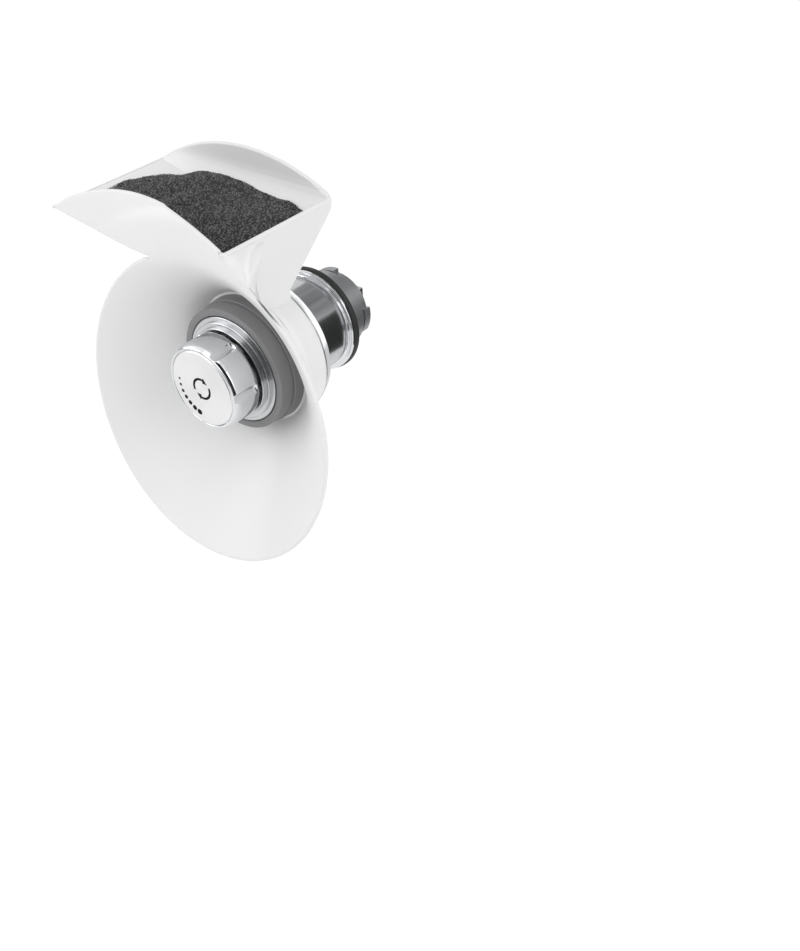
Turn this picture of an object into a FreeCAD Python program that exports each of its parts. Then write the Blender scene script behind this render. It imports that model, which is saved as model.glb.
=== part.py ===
import FreeCAD, Part
import math
import os

# Poppy seed mill that plugs into the front drive of a stand mixer.
# Millimetres. The mill's axis is Y and its rear, towards the mixer, is +Y.
# Z is up. The origin is on the axis, in the seat face against the mixer's hub.

os.makedirs("parts", exist_ok=True)
V = FreeCAD.Vector
AXIS = V(0, 1, 0)
ORIGIN = V(0, 0, 0)

# Fits and gaps
run_fit = 0.05
seat_gap = 0.1
body_gap = 0.3
joint_gap = 0.1

# Spigot, lock ring and seal
spigot_radius = 22.0
spigot_length = 20.0
spigot_land = 12.0
spigot_neck_depth = 3.5
spigot_chamfer = 1.0
seal_seat_depth = 1.0
lug_count = 3
lug_angle = 40.0
lug_length = 4.5
lug_depth = 1.0
seal_radius = 29.4
seal_thickness = 4.0
seal_lip = 0.8
seal_mouth = 0.8
lock_radius = 28.8
lock_length = 3.6
lock_step = 1.5
shoulder_radius = 23.7

# Coupling collar
groove_width = 0.8
groove_depth = 1.0
collar_radius = 25.8
collar_length = 23.0
collar_wall = 2.0
flange_radius = 38.0
flange_rear_radius = 35.5
flange_thickness = 6.3
flange_land = 1.6
pilot_depth = 1.2
pilot_wall = 1.5
pilot_relief = 0.3
screw_count = 4
screw_circle = 30.5
screw_radius = 1.6
screw_head_radius = 3.0
screw_head_height = 1.7
screw_length = 11.0
screw_slot = 0.9
screw_slot_depth = 0.7
lock_lip = 0.5

# Moulded body: barrel, chamber and nose
wall = 2.4
barrel_length = 13.3
skirt_wall = 2.4
chamber_radius = 18.0
chamber_wall = 2.4
rib_thickness = 2.0
boss_radius = 4.2
rib_count = 6
nose_radius = 31.3
nose_wall = 2.3
nose_length = 9.5

# Moulded body: dish
dish_wall = 3.0
dish_radius = 80.9
dish_base_margin = 1.2
dish_reach = 39.7
dish_drop = 13.6
dish_tilt = 8.5
dish_curl = 0.3
dish_sections = 5

# Moulded body: hopper; the rises are above the top of the dish's rim
tip_x = -105.0
tip_rise = 1.6
arch_x = -43.0
arch_rise = 21.9
corner_x = 19.0
corner_rise = 6.6
corner_round = 5.0
floor_slope = 0.13
floor_bend_x = -36.0
floor_bend_drop = 26.4
hopper_front_lead = 1.3
hopper_rear_y = -0.2
slope_top_rise = 4.6
slope_foot_rise = 0.3
slope_foot_gap = 0.8
neck_left_x = -14.4
neck_wall = 2.0
curl_foot_x = 37.5
curl_depth = 3.0

# Grinding set
burr_flange = 3.6
burr_gap = 0.3
burr_land = 2.4
burr_rim = 2.4
burr_waist_step = 0.2
burr_entry_radius = 10.5
burr_hub_wall = 2.8
burr_rim_wall = 2.3
burr_pocket_depth = 9.0
burr_waist_reach = 8.6
burr_depth = 13.0
burr_teeth = 30
tooth_depth = 1.0
tooth_half_width = 1.1
tooth_skew = 14.0
tooth_swell = 0.3
burr_step_radial = 2.3
burr_step_axial = 1.8
gasket_thickness = 0.8
burr_pin_radius = 1.5
burr_pin_length = 5.0
burr_pin_inset = 4.5
burr_pin_count = 2
burr_edge = 0.3
clamp_thickness = 0.8

# Grey rings
seat_ring_length = 6.5
seat_ring_wall = 3.5
nut_rear_wall = 2.3
nut_front_wall = 2.0
nut_length = 8.7
nut_hole_gap = 0.5
clamp_hole_gap = 0.7
edge_break = 0.4

# Shaft line
shell_wall = 2.2
core_disc = 4.5
core_rear_disc = 3.0
core_hub_wall = 3.0
shaft_radius = 6.0
shaft_front_radius = 5.0
thread_radius = 4.0
tail_radius = 4.0
tail_short = 1.0
thread_end = 1.2
dog_width = 9.5
dog_length = 13.0
dog_pin_radius = 1.5
dog_lead = 0.5
dog_collar = 2.0
dog_chamfer = 1.2
bush_wall = 2.2
bush_length = 13.0
seal_ring_width = 2.6
seal_ring_radius = 10.0
seal_ring_lip = 1.3
clip_thickness = 1.0
clip_radius = 8.0
clip_groove = 0.8
clip_mouth = 3.6
washer_thickness = 0.8
key_width = 3.0
key_chamfer = 0.3
key_length = 7.0
screw_hub_radius = 9.0
flight_clearance = 0.6
flight_pitch = 9.0
flight_thickness = 1.9
flight_taper = 0.6
flight_root = 1.5
spring_radius = 7.0
spring_wire = 1.2
spring_turns = 4.0
spring_pocket = 8.0

# Knob
knob_radius = 23.4
knob_depth = 16.2
knob_wall = 1.7
knob_lip = 2.2
knob_gap = 5.6
disc_radius = 20.5
disc_thickness = 0.9
grip_count = 6
grip_first = 3.0
grip_width = 4.4
grip_depth = 1.0
grip_inset = 1.6
insert_radius = 7.5
core_hub_radius = 10.5
core_rib = 2.0
core_wall = 1.6
lip_break = 0.1
lip_crown = 0.9
knob_washer_thickness = 0.7

# Radii that follow from the ones above
burr_front_radius = nose_radius - burr_rim
burr_waist_radius = chamber_radius + burr_waist_step
burr_body_radius = nose_radius - nose_wall - seat_gap
burr_pin_circle = burr_body_radius - burr_pin_inset
seal_bore_radius = spigot_radius - seal_seat_depth
bush_radius = shaft_radius + bush_wall
seat_ring_radius = nose_radius + seat_ring_wall
nut_rear_radius = nose_radius + nut_rear_wall
nut_front_radius = nose_radius + nut_front_wall
dish_base_radius = seat_ring_radius + dish_base_margin

# Axial stations, from the seat forwards
y_seal = -seal_thickness
y_lock = y_seal - lock_length
y_collar = y_lock - groove_width
y_flange = y_collar - collar_length
y_barrel = y_flange - flange_thickness
y_dish = y_barrel - barrel_length
y_nut_rear = y_dish - seat_ring_length
y_nut_front = y_nut_rear - nut_length
y_nose = y_dish - nose_length
y_web = y_dish + wall
y_burr_rear = y_dish - gasket_thickness
y_burr_front = y_nose - burr_flange
y_clamp_front = y_burr_front - clamp_thickness
y_cone_front = y_nut_front - body_gap
y_cone_rear = y_cone_front + burr_depth
y_cone_hub = y_cone_front - 2 * burr_step_axial - seat_gap
y_knob_rear = y_cone_front - knob_gap
y_knob_front = y_knob_rear - knob_depth
y_screw_front = y_cone_rear + seat_gap
y_screw_rear = y_barrel - washer_thickness - 2 * seat_gap
y_clip = y_barrel + bush_length + seal_ring_width + 2 * seat_gap
y_tail = spigot_length + dog_lead
y_dog_pin = y_tail + dog_length / 2
y_knob_floor = y_knob_front + disc_thickness + joint_gap
y_core_front = y_knob_floor + knob_wall + seat_gap
y_washer = y_cone_hub - knob_washer_thickness

# The hopper is set out from the top of the dish's rim
rim_tilt = math.radians(dish_tilt)
rim_top_z = dish_radius * math.cos(rim_tilt) - dish_drop
hopper_front_y = y_dish - dish_reach + dish_radius * math.sin(rim_tilt) - hopper_front_lead
tip_z = rim_top_z + tip_rise
arch_z = rim_top_z + arch_rise
corner_z = rim_top_z + corner_rise
floor_bend_z = rim_top_z - floor_bend_drop
slope_top_z = rim_top_z + slope_top_rise
slope_foot_z = flange_radius + slope_foot_rise
mouth_depth = dish_radius


def cylinder(radius, y_from, y_to, x=0.0, z=0.0):
    """Solid cylinder along Y between two stations."""
    return Part.makeCylinder(radius, y_to - y_from, V(x, y_from, z), AXIS)


def tube(outer, inner, y_from, y_to):
    """Plain tube along Y between two stations."""
    return cylinder(outer, y_from, y_to).cut(cylinder(inner, y_from - 1, y_to + 1))


def turned(profile):
    """Solid turned about the mill's axis from (radius, y) points."""
    points = [V(radius, y, 0) for radius, y in profile]
    face = Part.Face(Part.makePolygon(points + [points[0]]))
    return face.revolve(ORIGIN, AXIS, 360)


def box(x_from, x_to, y_from, y_to, z_from, z_to):
    """Solid block between two corners."""
    corner = V(x_from, y_from, z_from)
    return Part.makeBox(x_to - x_from, y_to - y_from, z_to - z_from, corner)


def around(shape, count, first=0.0):
    """Copies of a shape spaced evenly about the mill's axis."""
    copies = []
    for index in range(count):
        copy = shape.copy()
        copy.rotate(ORIGIN, AXIS, -first - index * 360.0 / count)
        copies.append(copy)
    return copies


def joined(shapes):
    """One solid from several that touch or overlap."""
    result = shapes[0]
    for shape in shapes[1:]:
        result = result.fuse(shape)
    return result.removeSplitter()


def save(shape, node):
    """Write one piece as a STEP file."""
    shape.exportStep(os.path.join("parts", node + ".step"))


def dish_centre(t, shift=0.0):
    """Centre of the dish's section at fraction t of the way to its rim."""
    reach = dish_reach * ((1 + dish_curl) * t - dish_curl * t * t)
    return V(0, y_dish - reach + shift, -dish_drop * t)


def dish_section(t, shift=0.0):
    """Circular section of the dish; the sections tilt back towards the rim."""
    radius = dish_base_radius + (dish_radius - dish_base_radius) * t
    circle = Part.makeCircle(radius, ORIGIN, V(0, -1, 0))
    circle.rotate(ORIGIN, V(1, 0, 0), -dish_tilt * t)
    circle.translate(dish_centre(t, shift))
    return Part.Wire(circle)


def dish_void(shift, mouth):
    """The dish's hollow, with a straight mouth in front of its rim."""
    steps = dish_sections - 1
    sections = [dish_section(i / steps, shift) for i in range(dish_sections)]
    bowl = Part.makeLoft(sections, True, False)
    if mouth <= 0:
        return bowl
    out = V(0, -math.cos(math.radians(dish_tilt)), math.sin(math.radians(dish_tilt)))
    lid = Part.makeCylinder(dish_radius, mouth, dish_centre(1, shift), out)
    return bowl.fuse(lid)


def hopper_block(inset, top):
    """Hopper seen along Y: arched top, shallow floor bending into the throat."""
    y_from = hopper_front_y - 5
    right = corner_x - inset
    left = tip_x + inset * 1.5
    neck = neck_left_x + inset
    low = chamber_radius / 2 if inset else chamber_radius + chamber_wall / 2
    floor_z = tip_z + inset - floor_slope * (left - tip_x)
    bend_z = tip_z + inset - floor_slope * (floor_bend_x - tip_x)
    knee_z = tip_z + inset - floor_slope * (neck - tip_x)
    start = V(left, y_from, floor_z if top == 0 else arch_z + top)
    end = V(right, y_from, corner_z if top == 0 else arch_z + top)
    crown = V(arch_x, y_from, arch_z + top)
    lid = Part.Arc(start, crown, end).toShape() if top == 0 else Part.makeLine(start, end)
    bend = Part.BezierCurve()
    foot = V(neck, y_from, floor_bend_z)
    bend.setPoles([foot, V(neck, y_from, knee_z), V(floor_bend_x, y_from, bend_z)])
    walls = Part.makePolygon([end, V(right, y_from, low), V(neck, y_from, low), foot])
    floor = [V(floor_bend_x, y_from, bend_z), V(left, y_from, floor_z)]
    if top:
        floor += [start]
    edges = [lid] + walls.Edges + [bend.toShape()] + Part.makePolygon(floor).Edges
    return Part.Face(Part.Wire(edges)).extrude(V(0, -y_from + 10, 0))


def hopper_side(inset):
    """Hopper seen along X: upright front and rear edges, rear wall sloping to the throat."""
    high = 2 * arch_z
    front = hopper_front_y + inset
    rear = hopper_rear_y - inset
    rise = (slope_top_z - slope_foot_z) / (hopper_rear_y - y_barrel + slope_foot_gap)
    lift = inset * math.sqrt(1 + rise * rise) - inset * rise
    throat = y_barrel - pilot_depth - pilot_relief - neck_wall if inset else y_barrel - slope_foot_gap
    drop = slope_top_z + lift - rise * (rear - throat)
    points = [(front, 0), (front, high), (rear, high), (rear, slope_top_z + lift)]
    points += [(throat, drop), (throat, 0)]
    corners = [V(tip_x - 5, y, z) for y, z in points]
    face = Part.Face(Part.makePolygon(corners + [corners[0]]))
    return face.extrude(V(corner_x - tip_x + mouth_depth, 0, 0))


def rounded_upright(shape, radius, x, y):
    """Round the upright corner that runs down at one x and y."""
    edges = []
    for edge in shape.Edges:
        span = edge.BoundBox
        upright = span.XLength < 0.01 and span.YLength < 0.01
        if upright and abs(span.XMin - x) < 0.01 and abs(span.YMin - y) < 0.01:
            edges.append(edge)
    return shape.makeFillet(radius, edges)


def curl_plate():
    """Web that carries the dish's rim up into the hopper's near corner."""
    rim = dish_centre(1)
    foot_z = rim.z + math.sqrt(dish_radius ** 2 - curl_foot_x ** 2)
    rise = corner_z - foot_z
    run = curl_foot_x - corner_x
    y = hopper_front_y
    knots = [(0, 1), (0.28, 0.83), (0.5, 0.53), (0.74, 0.22), (1, 0)]
    points = [V(corner_x + run * u, y, foot_z + rise * v) for u, v in knots]
    curve = Part.BSplineCurve()
    curve.interpolate(points)
    inner = corner_x - wall
    back = [points[-1], V(curl_foot_x, y, foot_z - 4), V(inner, y, foot_z - 4), V(inner, y, corner_z)]
    outline = Part.Wire([curve.toShape()] + Part.makePolygon(back + [points[0]]).Edges)
    return Part.Face(outline).extrude(V(0, curl_depth, 0))


def make_mill_body():
    """White moulding: dish, hopper, barrel with its chamber, ribs and bosses, and nose."""
    front = dish_void(0, mouth_depth)
    back = dish_void(dish_wall, mouth_depth)
    dish = dish_void(dish_wall, 0).cut(front)
    outside = hopper_block(0, 0).common(hopper_side(0))
    outside = rounded_upright(outside, corner_round, corner_x, hopper_front_y)
    inside = hopper_block(wall, 30).common(hopper_side(wall))
    inside = rounded_upright(inside, corner_round - wall, corner_x - wall, hopper_front_y + wall)
    relief = cylinder(flange_radius - skirt_wall, y_barrel - pilot_depth - pilot_relief, y_barrel + 1)
    hopper = outside.fuse(curl_plate()).cut(front).cut(relief)
    skirt = tube(flange_radius, flange_radius - skirt_wall, y_dish, y_barrel)
    chamber = tube(chamber_radius + chamber_wall, chamber_radius, y_dish, y_barrel - seat_gap)
    nose = tube(nose_radius, nose_radius - nose_wall, y_nose, y_web)
    rib = box(chamber_radius + 1, flange_radius - 1, y_dish, y_barrel - pilot_depth - 1,
              -rib_thickness / 2, rib_thickness / 2)
    ribs = [each for index, each in enumerate(around(rib, rib_count, 180 / rib_count)) if index != 1]
    boss = cylinder(boss_radius, y_dish + wall / 2, y_barrel, screw_circle)
    bosses = around(boss, screw_count, 45)
    body = joined([dish, skirt, chamber, nose, hopper] + ribs + bosses)
    hole = cylinder(screw_radius - seat_gap, y_web, y_barrel + 1, screw_circle)
    bore = cylinder(chamber_radius, y_dish - 1, y_barrel + 1)
    body = body.cut(inside.cut(back)).cut(bore)
    return body.cut(Part.makeCompound(around(hole, screw_count, 45)))


def make_coupling_collar():
    """Polished steel collar turned with its flange, pilot and rear groove."""
    inner = collar_radius - collar_wall
    pilot = flange_radius - skirt_wall - seat_gap
    profile = [(inner, y_lock), (collar_radius - groove_depth, y_lock)]
    profile += [(collar_radius - groove_depth, y_collar), (collar_radius, y_collar)]
    profile += [(collar_radius, y_flange), (flange_rear_radius - 1, y_flange)]
    profile += [(flange_rear_radius, y_flange - 0.6), (flange_radius, y_barrel + flange_land)]
    profile += [(flange_radius, y_barrel), (pilot, y_barrel), (pilot, y_barrel - pilot_depth)]
    profile += [(pilot - pilot_wall, y_barrel - pilot_depth), (pilot - pilot_wall, y_barrel)]
    profile += [(inner, y_barrel)]
    collar = turned(profile)
    shank = cylinder(screw_radius + seat_gap, y_barrel - 3, y_flange + 1, screw_circle)
    sink = Part.makeCone(screw_radius + seat_gap, screw_head_radius + seat_gap, screw_head_height,
                         V(screw_circle, y_flange - screw_head_height, 0), AXIS)
    clear = cylinder(boss_radius + body_gap, y_barrel - pilot_depth - 1, y_barrel, screw_circle)
    cuts = around(shank.fuse(sink), screw_count, 45) + around(clear, screw_count, 45)
    return collar.cut(Part.makeCompound(cuts))


def make_collar_screws():
    """Countersunk screws through the flange into the moulding's bosses."""
    head = Part.makeCone(screw_radius, screw_head_radius, screw_head_height,
                         V(screw_circle, y_flange - screw_head_height, 0), AXIS)
    shank = cylinder(screw_radius - 2 * seat_gap, y_flange - screw_length, y_flange - 1, screw_circle)
    slot = box(screw_circle - screw_head_radius, screw_circle + screw_head_radius,
               y_flange - screw_slot_depth, y_flange + 1, -screw_slot / 2, screw_slot / 2)
    return Part.makeCompound(around(head.fuse(shank).cut(slot), screw_count, 45))


def make_bearing_housing():
    """Die-cast core inside the collar, with the front bearing seat and web ribs."""
    outer = collar_radius - collar_wall - joint_gap
    bush = bush_radius + joint_gap
    hub = bush + core_hub_wall
    body = tube(outer, outer - shell_wall, y_barrel, y_lock)
    disc = cylinder(outer, y_barrel, y_barrel + core_disc)
    boss = cylinder(hub, y_barrel, y_barrel + bush_length + seal_ring_width + 1)
    rear = cylinder(outer, y_lock - core_rear_disc, y_lock)
    rib = box(hub - 1, outer - 1, y_barrel + core_disc / 2, y_lock - core_rear_disc / 2,
              -rib_thickness / 2, rib_thickness / 2)
    solid = joined([body, disc, boss, rear] + around(rib, rib_count, 15))
    seat = cylinder(seal_ring_radius + joint_gap, y_barrel - 1, y_barrel + seal_ring_width + seat_gap)
    bore = cylinder(bush, y_barrel - 1, y_lock + 1)
    rear_hole = cylinder(hub, y_lock - core_rear_disc - 1, y_lock + 1)
    return solid.cut(Part.makeCompound([seat, bore, rear_hole]))


def make_lock_ring():
    """Chromed stepped ring at the collar's rear."""
    inner = shoulder_radius + joint_gap
    half = (y_lock + y_seal) / 2
    profile = [(inner, y_lock), (lock_radius - 2 * lock_step, y_lock)]
    profile += [(lock_radius - lock_step, y_lock + lock_lip), (lock_radius - lock_step, half)]
    profile += [(lock_radius - lock_lip, half), (lock_radius, half + lock_lip), (lock_radius, y_seal)]
    profile += [(inner, y_seal)]
    return turned(profile)


def make_spigot():
    """Die-cast plug that fits the mixer's hub; bayonet lugs stand on its stepped-down end."""
    bore = bush_radius + joint_gap
    seat = seal_bore_radius
    neck = spigot_radius - spigot_neck_depth
    profile = [(bore, y_lock + seat_gap), (shoulder_radius, y_lock + seat_gap)]
    profile += [(shoulder_radius, y_seal), (seat, y_seal), (seat, 0), (spigot_radius, 0)]
    profile += [(spigot_radius, spigot_land), (neck, spigot_land)]
    profile += [(neck, spigot_length - spigot_chamfer), (neck - spigot_chamfer, spigot_length)]
    profile += [(bore, spigot_length)]
    y_lug = spigot_length - spigot_chamfer - lug_length
    turn = math.radians(lug_angle)
    reach = 2 * spigot_radius
    sector = [V(0, y_lug, 0), V(reach, y_lug, 0)]
    sector += [V(reach * math.cos(turn), y_lug, reach * math.sin(turn))]
    wedge = Part.Face(Part.makePolygon(sector + [sector[0]])).extrude(V(0, lug_length, 0))
    ring = tube(spigot_radius - lug_depth, neck - 1, y_lug, y_lug + lug_length)
    return joined([turned(profile)] + around(wedge.common(ring), lug_count, 90))


def make_collar_seal():
    """Black rubber ring between lock ring and mixer, bevelled to slip over the spigot's land."""
    inner = seal_bore_radius + joint_gap
    mouth = spigot_radius + seal_mouth
    profile = [(inner, y_seal), (seal_radius - seal_lip, y_seal)]
    profile += [(seal_radius, y_seal + seal_lip), (seal_radius, -seal_lip)]
    profile += [(seal_radius - seal_lip, 0), (mouth, 0), (inner, inner - mouth)]
    return turned(profile)


def make_bush(y_from):
    """Plain sintered bronze bush."""
    return tube(bush_radius, shaft_radius + run_fit, y_from, y_from + bush_length)


def make_shaft_seal():
    """Rubber lip seal that keeps seeds out of the bearing."""
    y_face = y_barrel + body_gap
    y_lip = y_barrel + seal_ring_lip
    y_to = y_barrel + seal_ring_width
    inner = shaft_radius + body_gap
    profile = [(inner, y_face + edge_break), (inner + seal_ring_lip, y_face)]
    profile += [(seal_ring_radius - edge_break, y_face), (seal_ring_radius, y_face + edge_break)]
    profile += [(seal_ring_radius, y_to), (inner + 1, y_to), (inner + 1, y_lip), (inner, y_lip)]
    return turned(profile)


def make_drive_shaft():
    """Steel shaft: square-driven tail, journal, screw and burr seat, threaded front."""
    y_step = y_screw_rear + seat_gap
    y_front = y_core_front + thread_end
    y_end = y_tail + dog_length - tail_short
    profile = [(0, y_front), (thread_radius - thread_end / 2, y_front)]
    profile += [(thread_radius, y_front + thread_end / 2)]
    profile += [(thread_radius, y_washer), (shaft_front_radius, y_washer)]
    profile += [(shaft_front_radius, y_step), (shaft_radius, y_step), (shaft_radius, y_tail)]
    profile += [(tail_radius, y_tail), (tail_radius, y_end), (0, y_end)]
    groove = tube(shaft_radius + 1, shaft_radius - clip_groove, y_clip, y_clip + clip_thickness + seat_gap)
    cuts = [groove, dog_pin_hole(), key_seat(screw_key_y()), key_seat(burr_key_y())]
    return turned(profile).cut(Part.makeCompound(cuts))


def dog_pin_hole():
    """Cross hole through the dog and the shaft's tail."""
    start = V(-dog_width, y_dog_pin, 0)
    return Part.makeCylinder(dog_pin_radius + joint_gap, 2 * dog_width, start, V(1, 0, 0))


def screw_key_y():
    """Front end of the feed screw's key."""
    return (y_screw_front + y_screw_rear - key_length) / 2


def burr_key_y():
    """Front end of the burr's key."""
    return y_cone_hub + key_width / 2


def key_seat(y_from):
    """Slot in the shaft that a key sits in."""
    gap = joint_gap / 2
    return box(-key_width / 2 - gap, key_width / 2 + gap, y_from - gap, y_from + key_length + gap,
               shaft_front_radius - key_width / 2 - gap, shaft_front_radius + key_width)


def make_key(y_from):
    """Parallel key with rounded top corners."""
    z_low = shaft_front_radius - key_width / 2
    key = box(-key_width / 2, key_width / 2, y_from, y_from + key_length, z_low, z_low + key_width)
    top = [edge for edge in key.Edges if edge.CenterOfMass.z > z_low + key_width - 0.01]
    return key.makeChamfer(key_chamfer, top)


def keyway(y_from, y_to):
    """Keyway that runs right through a hub."""
    gap = joint_gap / 2
    top = shaft_front_radius + key_width / 2 + gap
    return box(-key_width / 2 - gap, key_width / 2 + gap, y_from, y_to, 0, top)


def make_drive_dog():
    """Square dog on the shaft's tail; the mixer's socket drives it."""
    y_from = y_tail + seat_gap
    half = dog_width / 2
    dog = box(-half, half, y_from, y_from + dog_length, -half, half)
    end = [edge for edge in dog.Edges if edge.CenterOfMass.y > y_from + dog_length - 0.01]
    dog = dog.makeChamfer(dog_chamfer, end)
    collar = cylinder(half + dog_collar, y_from, y_from + dog_collar)
    hole = cylinder(tail_radius + joint_gap / 2, y_from - 1, y_from + dog_length - tail_short)
    return joined([dog, collar]).cut(Part.makeCompound([hole, dog_pin_hole()]))


def make_dog_pin():
    """Cross pin through the dog and the shaft's tail."""
    length = dog_width - edge_break
    pin = Part.makeCylinder(dog_pin_radius, length, V(-length / 2, y_dog_pin, 0), V(1, 0, 0))
    return pin.makeChamfer(key_chamfer, [pin.Edges[0], pin.Edges[2]])


def make_retaining_ring():
    """Spring clip in the shaft's groove, open at one side."""
    y_from = y_clip + seat_gap / 2
    ring = tube(clip_radius, shaft_radius - clip_groove + joint_gap, y_from, y_from + clip_thickness)
    gap = box(-clip_mouth / 2, clip_mouth / 2, y_from - 1, y_from + clip_thickness + 1, -clip_radius - 1, 0)
    return ring.cut(gap)


def make_thrust_washer():
    """Hard washer between the feed screw and the bearing."""
    y_from = y_screw_rear + seat_gap
    return tube(screw_hub_radius, shaft_radius + joint_gap, y_from, y_from + washer_thickness)


def make_feed_screw():
    """Auger that carries seeds from the throat to the burrs."""
    length = y_screw_rear - y_screw_front
    hub = cylinder(screw_hub_radius, y_screw_front, y_screw_rear)
    outer = chamber_radius - flight_clearance
    reach = length - flight_thickness
    helix = Part.makeHelix(flight_pitch, reach, outer)
    inner = screw_hub_radius - flight_root
    half = flight_thickness / 2
    crest = half * flight_taper
    corners = [V(inner, 0, -half), V(outer, 0, -crest), V(outer, 0, crest), V(inner, 0, half)]
    section = Part.Wire(Part.makePolygon(corners + [corners[0]]))
    flight = Part.Wire(helix).makePipeShell([section], True, True)
    flight.translate(V(0, 0, half))
    flight.rotate(ORIGIN, V(1, 0, 0), -90)
    flight.translate(V(0, y_screw_front, 0))
    screw = hub.fuse(flight)
    bore = cylinder(shaft_front_radius + run_fit, y_screw_front - 1, y_screw_rear + 1)
    slot = keyway(screw_key_y() - joint_gap, y_screw_rear + 1)
    return screw.cut(bore).cut(slot)


def tooth_cutter(radius_rear, y_rear, radius_front, y_front, inward):
    """Wedge that cuts one slanting tooth gap along a cone."""
    depth = -tooth_depth if inward else tooth_depth
    over = 1.0 if inward else -1.0
    ends = []
    rear = (radius_rear, y_rear, 0, 1 + tooth_swell)
    front = (radius_front, y_front, tooth_skew, 1 - tooth_swell)
    for radius, y, turn, size in (rear, front):
        half = tooth_half_width * size
        points = [V(radius + over, y, -half), V(radius + over, y, half), V(radius + depth * size, y, 0)]
        wire = Part.makePolygon(points + [points[0]])
        wire.rotate(ORIGIN, AXIS, turn)
        ends.append(wire)
    return Part.makeLoft(ends, True, True)


def cone_profile(offset):
    """Grinding cone's working line, rear to front, moved out by a gap."""
    waist = y_cone_front + burr_land + burr_waist_reach
    return [(burr_entry_radius + offset, y_cone_rear), (burr_waist_radius + offset, waist),
            (burr_front_radius + offset, y_cone_front + burr_land)]


def make_outer_burr():
    """Fixed grinding ring with teeth inside its cone; its flange sits on the nose."""
    flange = nose_radius - seat_gap
    entry, waist, front = cone_profile(burr_gap)
    slope = (front[0] - waist[0]) / (waist[1] - front[1])
    mouth = (front[0] - slope * max(y_burr_front - front[1], 0), y_burr_front)
    profile = [(chamber_radius, y_burr_rear), (burr_body_radius, y_burr_rear)]
    profile += [(burr_body_radius, y_nose), (flange, y_nose), (flange, y_burr_front), mouth, waist]
    burr = turned(profile)
    cutter = tooth_cutter(waist[0], waist[1] + tooth_depth, mouth[0], mouth[1] - tooth_depth, False)
    notch = cylinder(burr_pin_radius + joint_gap, y_burr_rear - burr_pin_length / 2 - body_gap,
                     y_burr_rear + 1, burr_pin_circle)
    cuts = around(cutter, burr_teeth, 0) + around(notch, burr_pin_count, 45)
    return burr.cut(Part.makeCompound(cuts))


def make_burr_pins():
    """Two pins that stop the outer burr from turning."""
    y_from = y_burr_rear - burr_pin_length / 2
    pin = cylinder(burr_pin_radius, y_from, y_from + burr_pin_length, burr_pin_circle)
    return Part.makeCompound(around(pin, burr_pin_count, 45))


def pin_holes():
    """Holes for the burr pins in the moulding's web."""
    hole = cylinder(burr_pin_radius + joint_gap, y_dish - 1, y_web + 1, burr_pin_circle)
    return Part.makeCompound(around(hole, burr_pin_count, 45))


def make_burr_gasket():
    """Flat gasket behind the outer burr."""
    ring = tube(burr_body_radius, chamber_radius + body_gap, y_burr_rear, y_dish)
    return ring.cut(pin_holes())


def make_inner_burr():
    """Rotating cone with teeth outside and a stepped, polished front."""
    entry, waist, front = cone_profile(0)
    step_one = burr_front_radius - burr_step_radial
    step_two = step_one - burr_step_radial
    hub = spring_radius + spring_wire + burr_hub_wall
    y_one = y_cone_front - burr_step_axial
    y_two = y_one - burr_step_axial
    profile = [(0, y_cone_rear), entry, waist, front, (burr_front_radius, y_cone_front + burr_edge)]
    profile += [(burr_front_radius - burr_edge, y_cone_front), (step_one, y_cone_front)]
    profile += [(step_one, y_one + burr_edge), (step_one - burr_edge, y_one), (step_two, y_one)]
    profile += [(step_two, y_two + burr_edge), (step_two - burr_edge, y_two), (hub, y_two)]
    profile += [(hub, y_cone_hub), (0, y_cone_hub)]
    burr = turned(profile)
    cutter = tooth_cutter(waist[0], waist[1] + tooth_depth, front[0], front[1] - tooth_depth / 2, True)
    coarse = tooth_cutter(entry[0], entry[1] + tooth_depth, waist[0] + tooth_depth / 2,
                          waist[1] - 2 * tooth_depth, True)
    bore = cylinder(shaft_front_radius + run_fit, y_cone_hub - 1, y_cone_rear + 1)
    pocket = cylinder(spring_radius + spring_wire, y_cone_rear - spring_pocket, y_cone_rear + 1)
    recess = tube(step_two - burr_rim_wall, hub, y_two - 1, y_two + burr_pocket_depth)
    slot = keyway(y_cone_hub - 1, y_cone_rear + 1)
    cuts = around(cutter, burr_teeth, 6) + around(coarse, burr_teeth // 3, 6)
    return burr.cut(Part.makeCompound(cuts)).cut(recess).cut(Part.makeCompound([bore, pocket, slot]))


def make_burr_spring():
    """Compression spring that pushes the cone forwards against the knob."""
    y_from = y_cone_rear - spring_pocket + spring_wire / 2 + seat_gap
    y_to = y_screw_front - spring_wire / 2
    height = y_to - y_from
    helix = Part.makeHelix(height / spring_turns, height, spring_radius)
    section = Part.Wire(Part.makeCircle(spring_wire / 2, V(spring_radius, 0, 0), V(0, 1, 0)))
    coil = Part.Wire(helix).makePipeShell([section], True, True)
    coil.rotate(ORIGIN, V(1, 0, 0), -90)
    coil.translate(V(0, y_from, 0))
    return coil


def make_seat_ring():
    """Grey plastic ring between the dish and the ring nut."""
    inner = nose_radius + body_gap
    profile = [(inner, y_dish), (seat_ring_radius, y_dish)]
    profile += [(nut_rear_radius + edge_break, y_nut_rear + 2 * edge_break)]
    profile += [(nut_rear_radius, y_nut_rear), (inner, y_nut_rear)]
    return turned(profile)


def make_ring_nut():
    """Grey plastic nut that clamps the outer burr on the nose."""
    inner = nose_radius + body_gap
    hole = burr_front_radius + nut_hole_gap
    y_rear = y_nut_rear - joint_gap
    profile = [(inner, y_rear), (nut_rear_radius - edge_break, y_rear)]
    profile += [(nut_rear_radius, y_rear - edge_break), (nut_front_radius, y_nut_front + edge_break)]
    profile += [(nut_front_radius - edge_break, y_nut_front)]
    profile += [(hole + edge_break, y_nut_front), (hole, y_nut_front + edge_break)]
    profile += [(hole, y_clamp_front), (inner, y_clamp_front)]
    return turned(profile)


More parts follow.
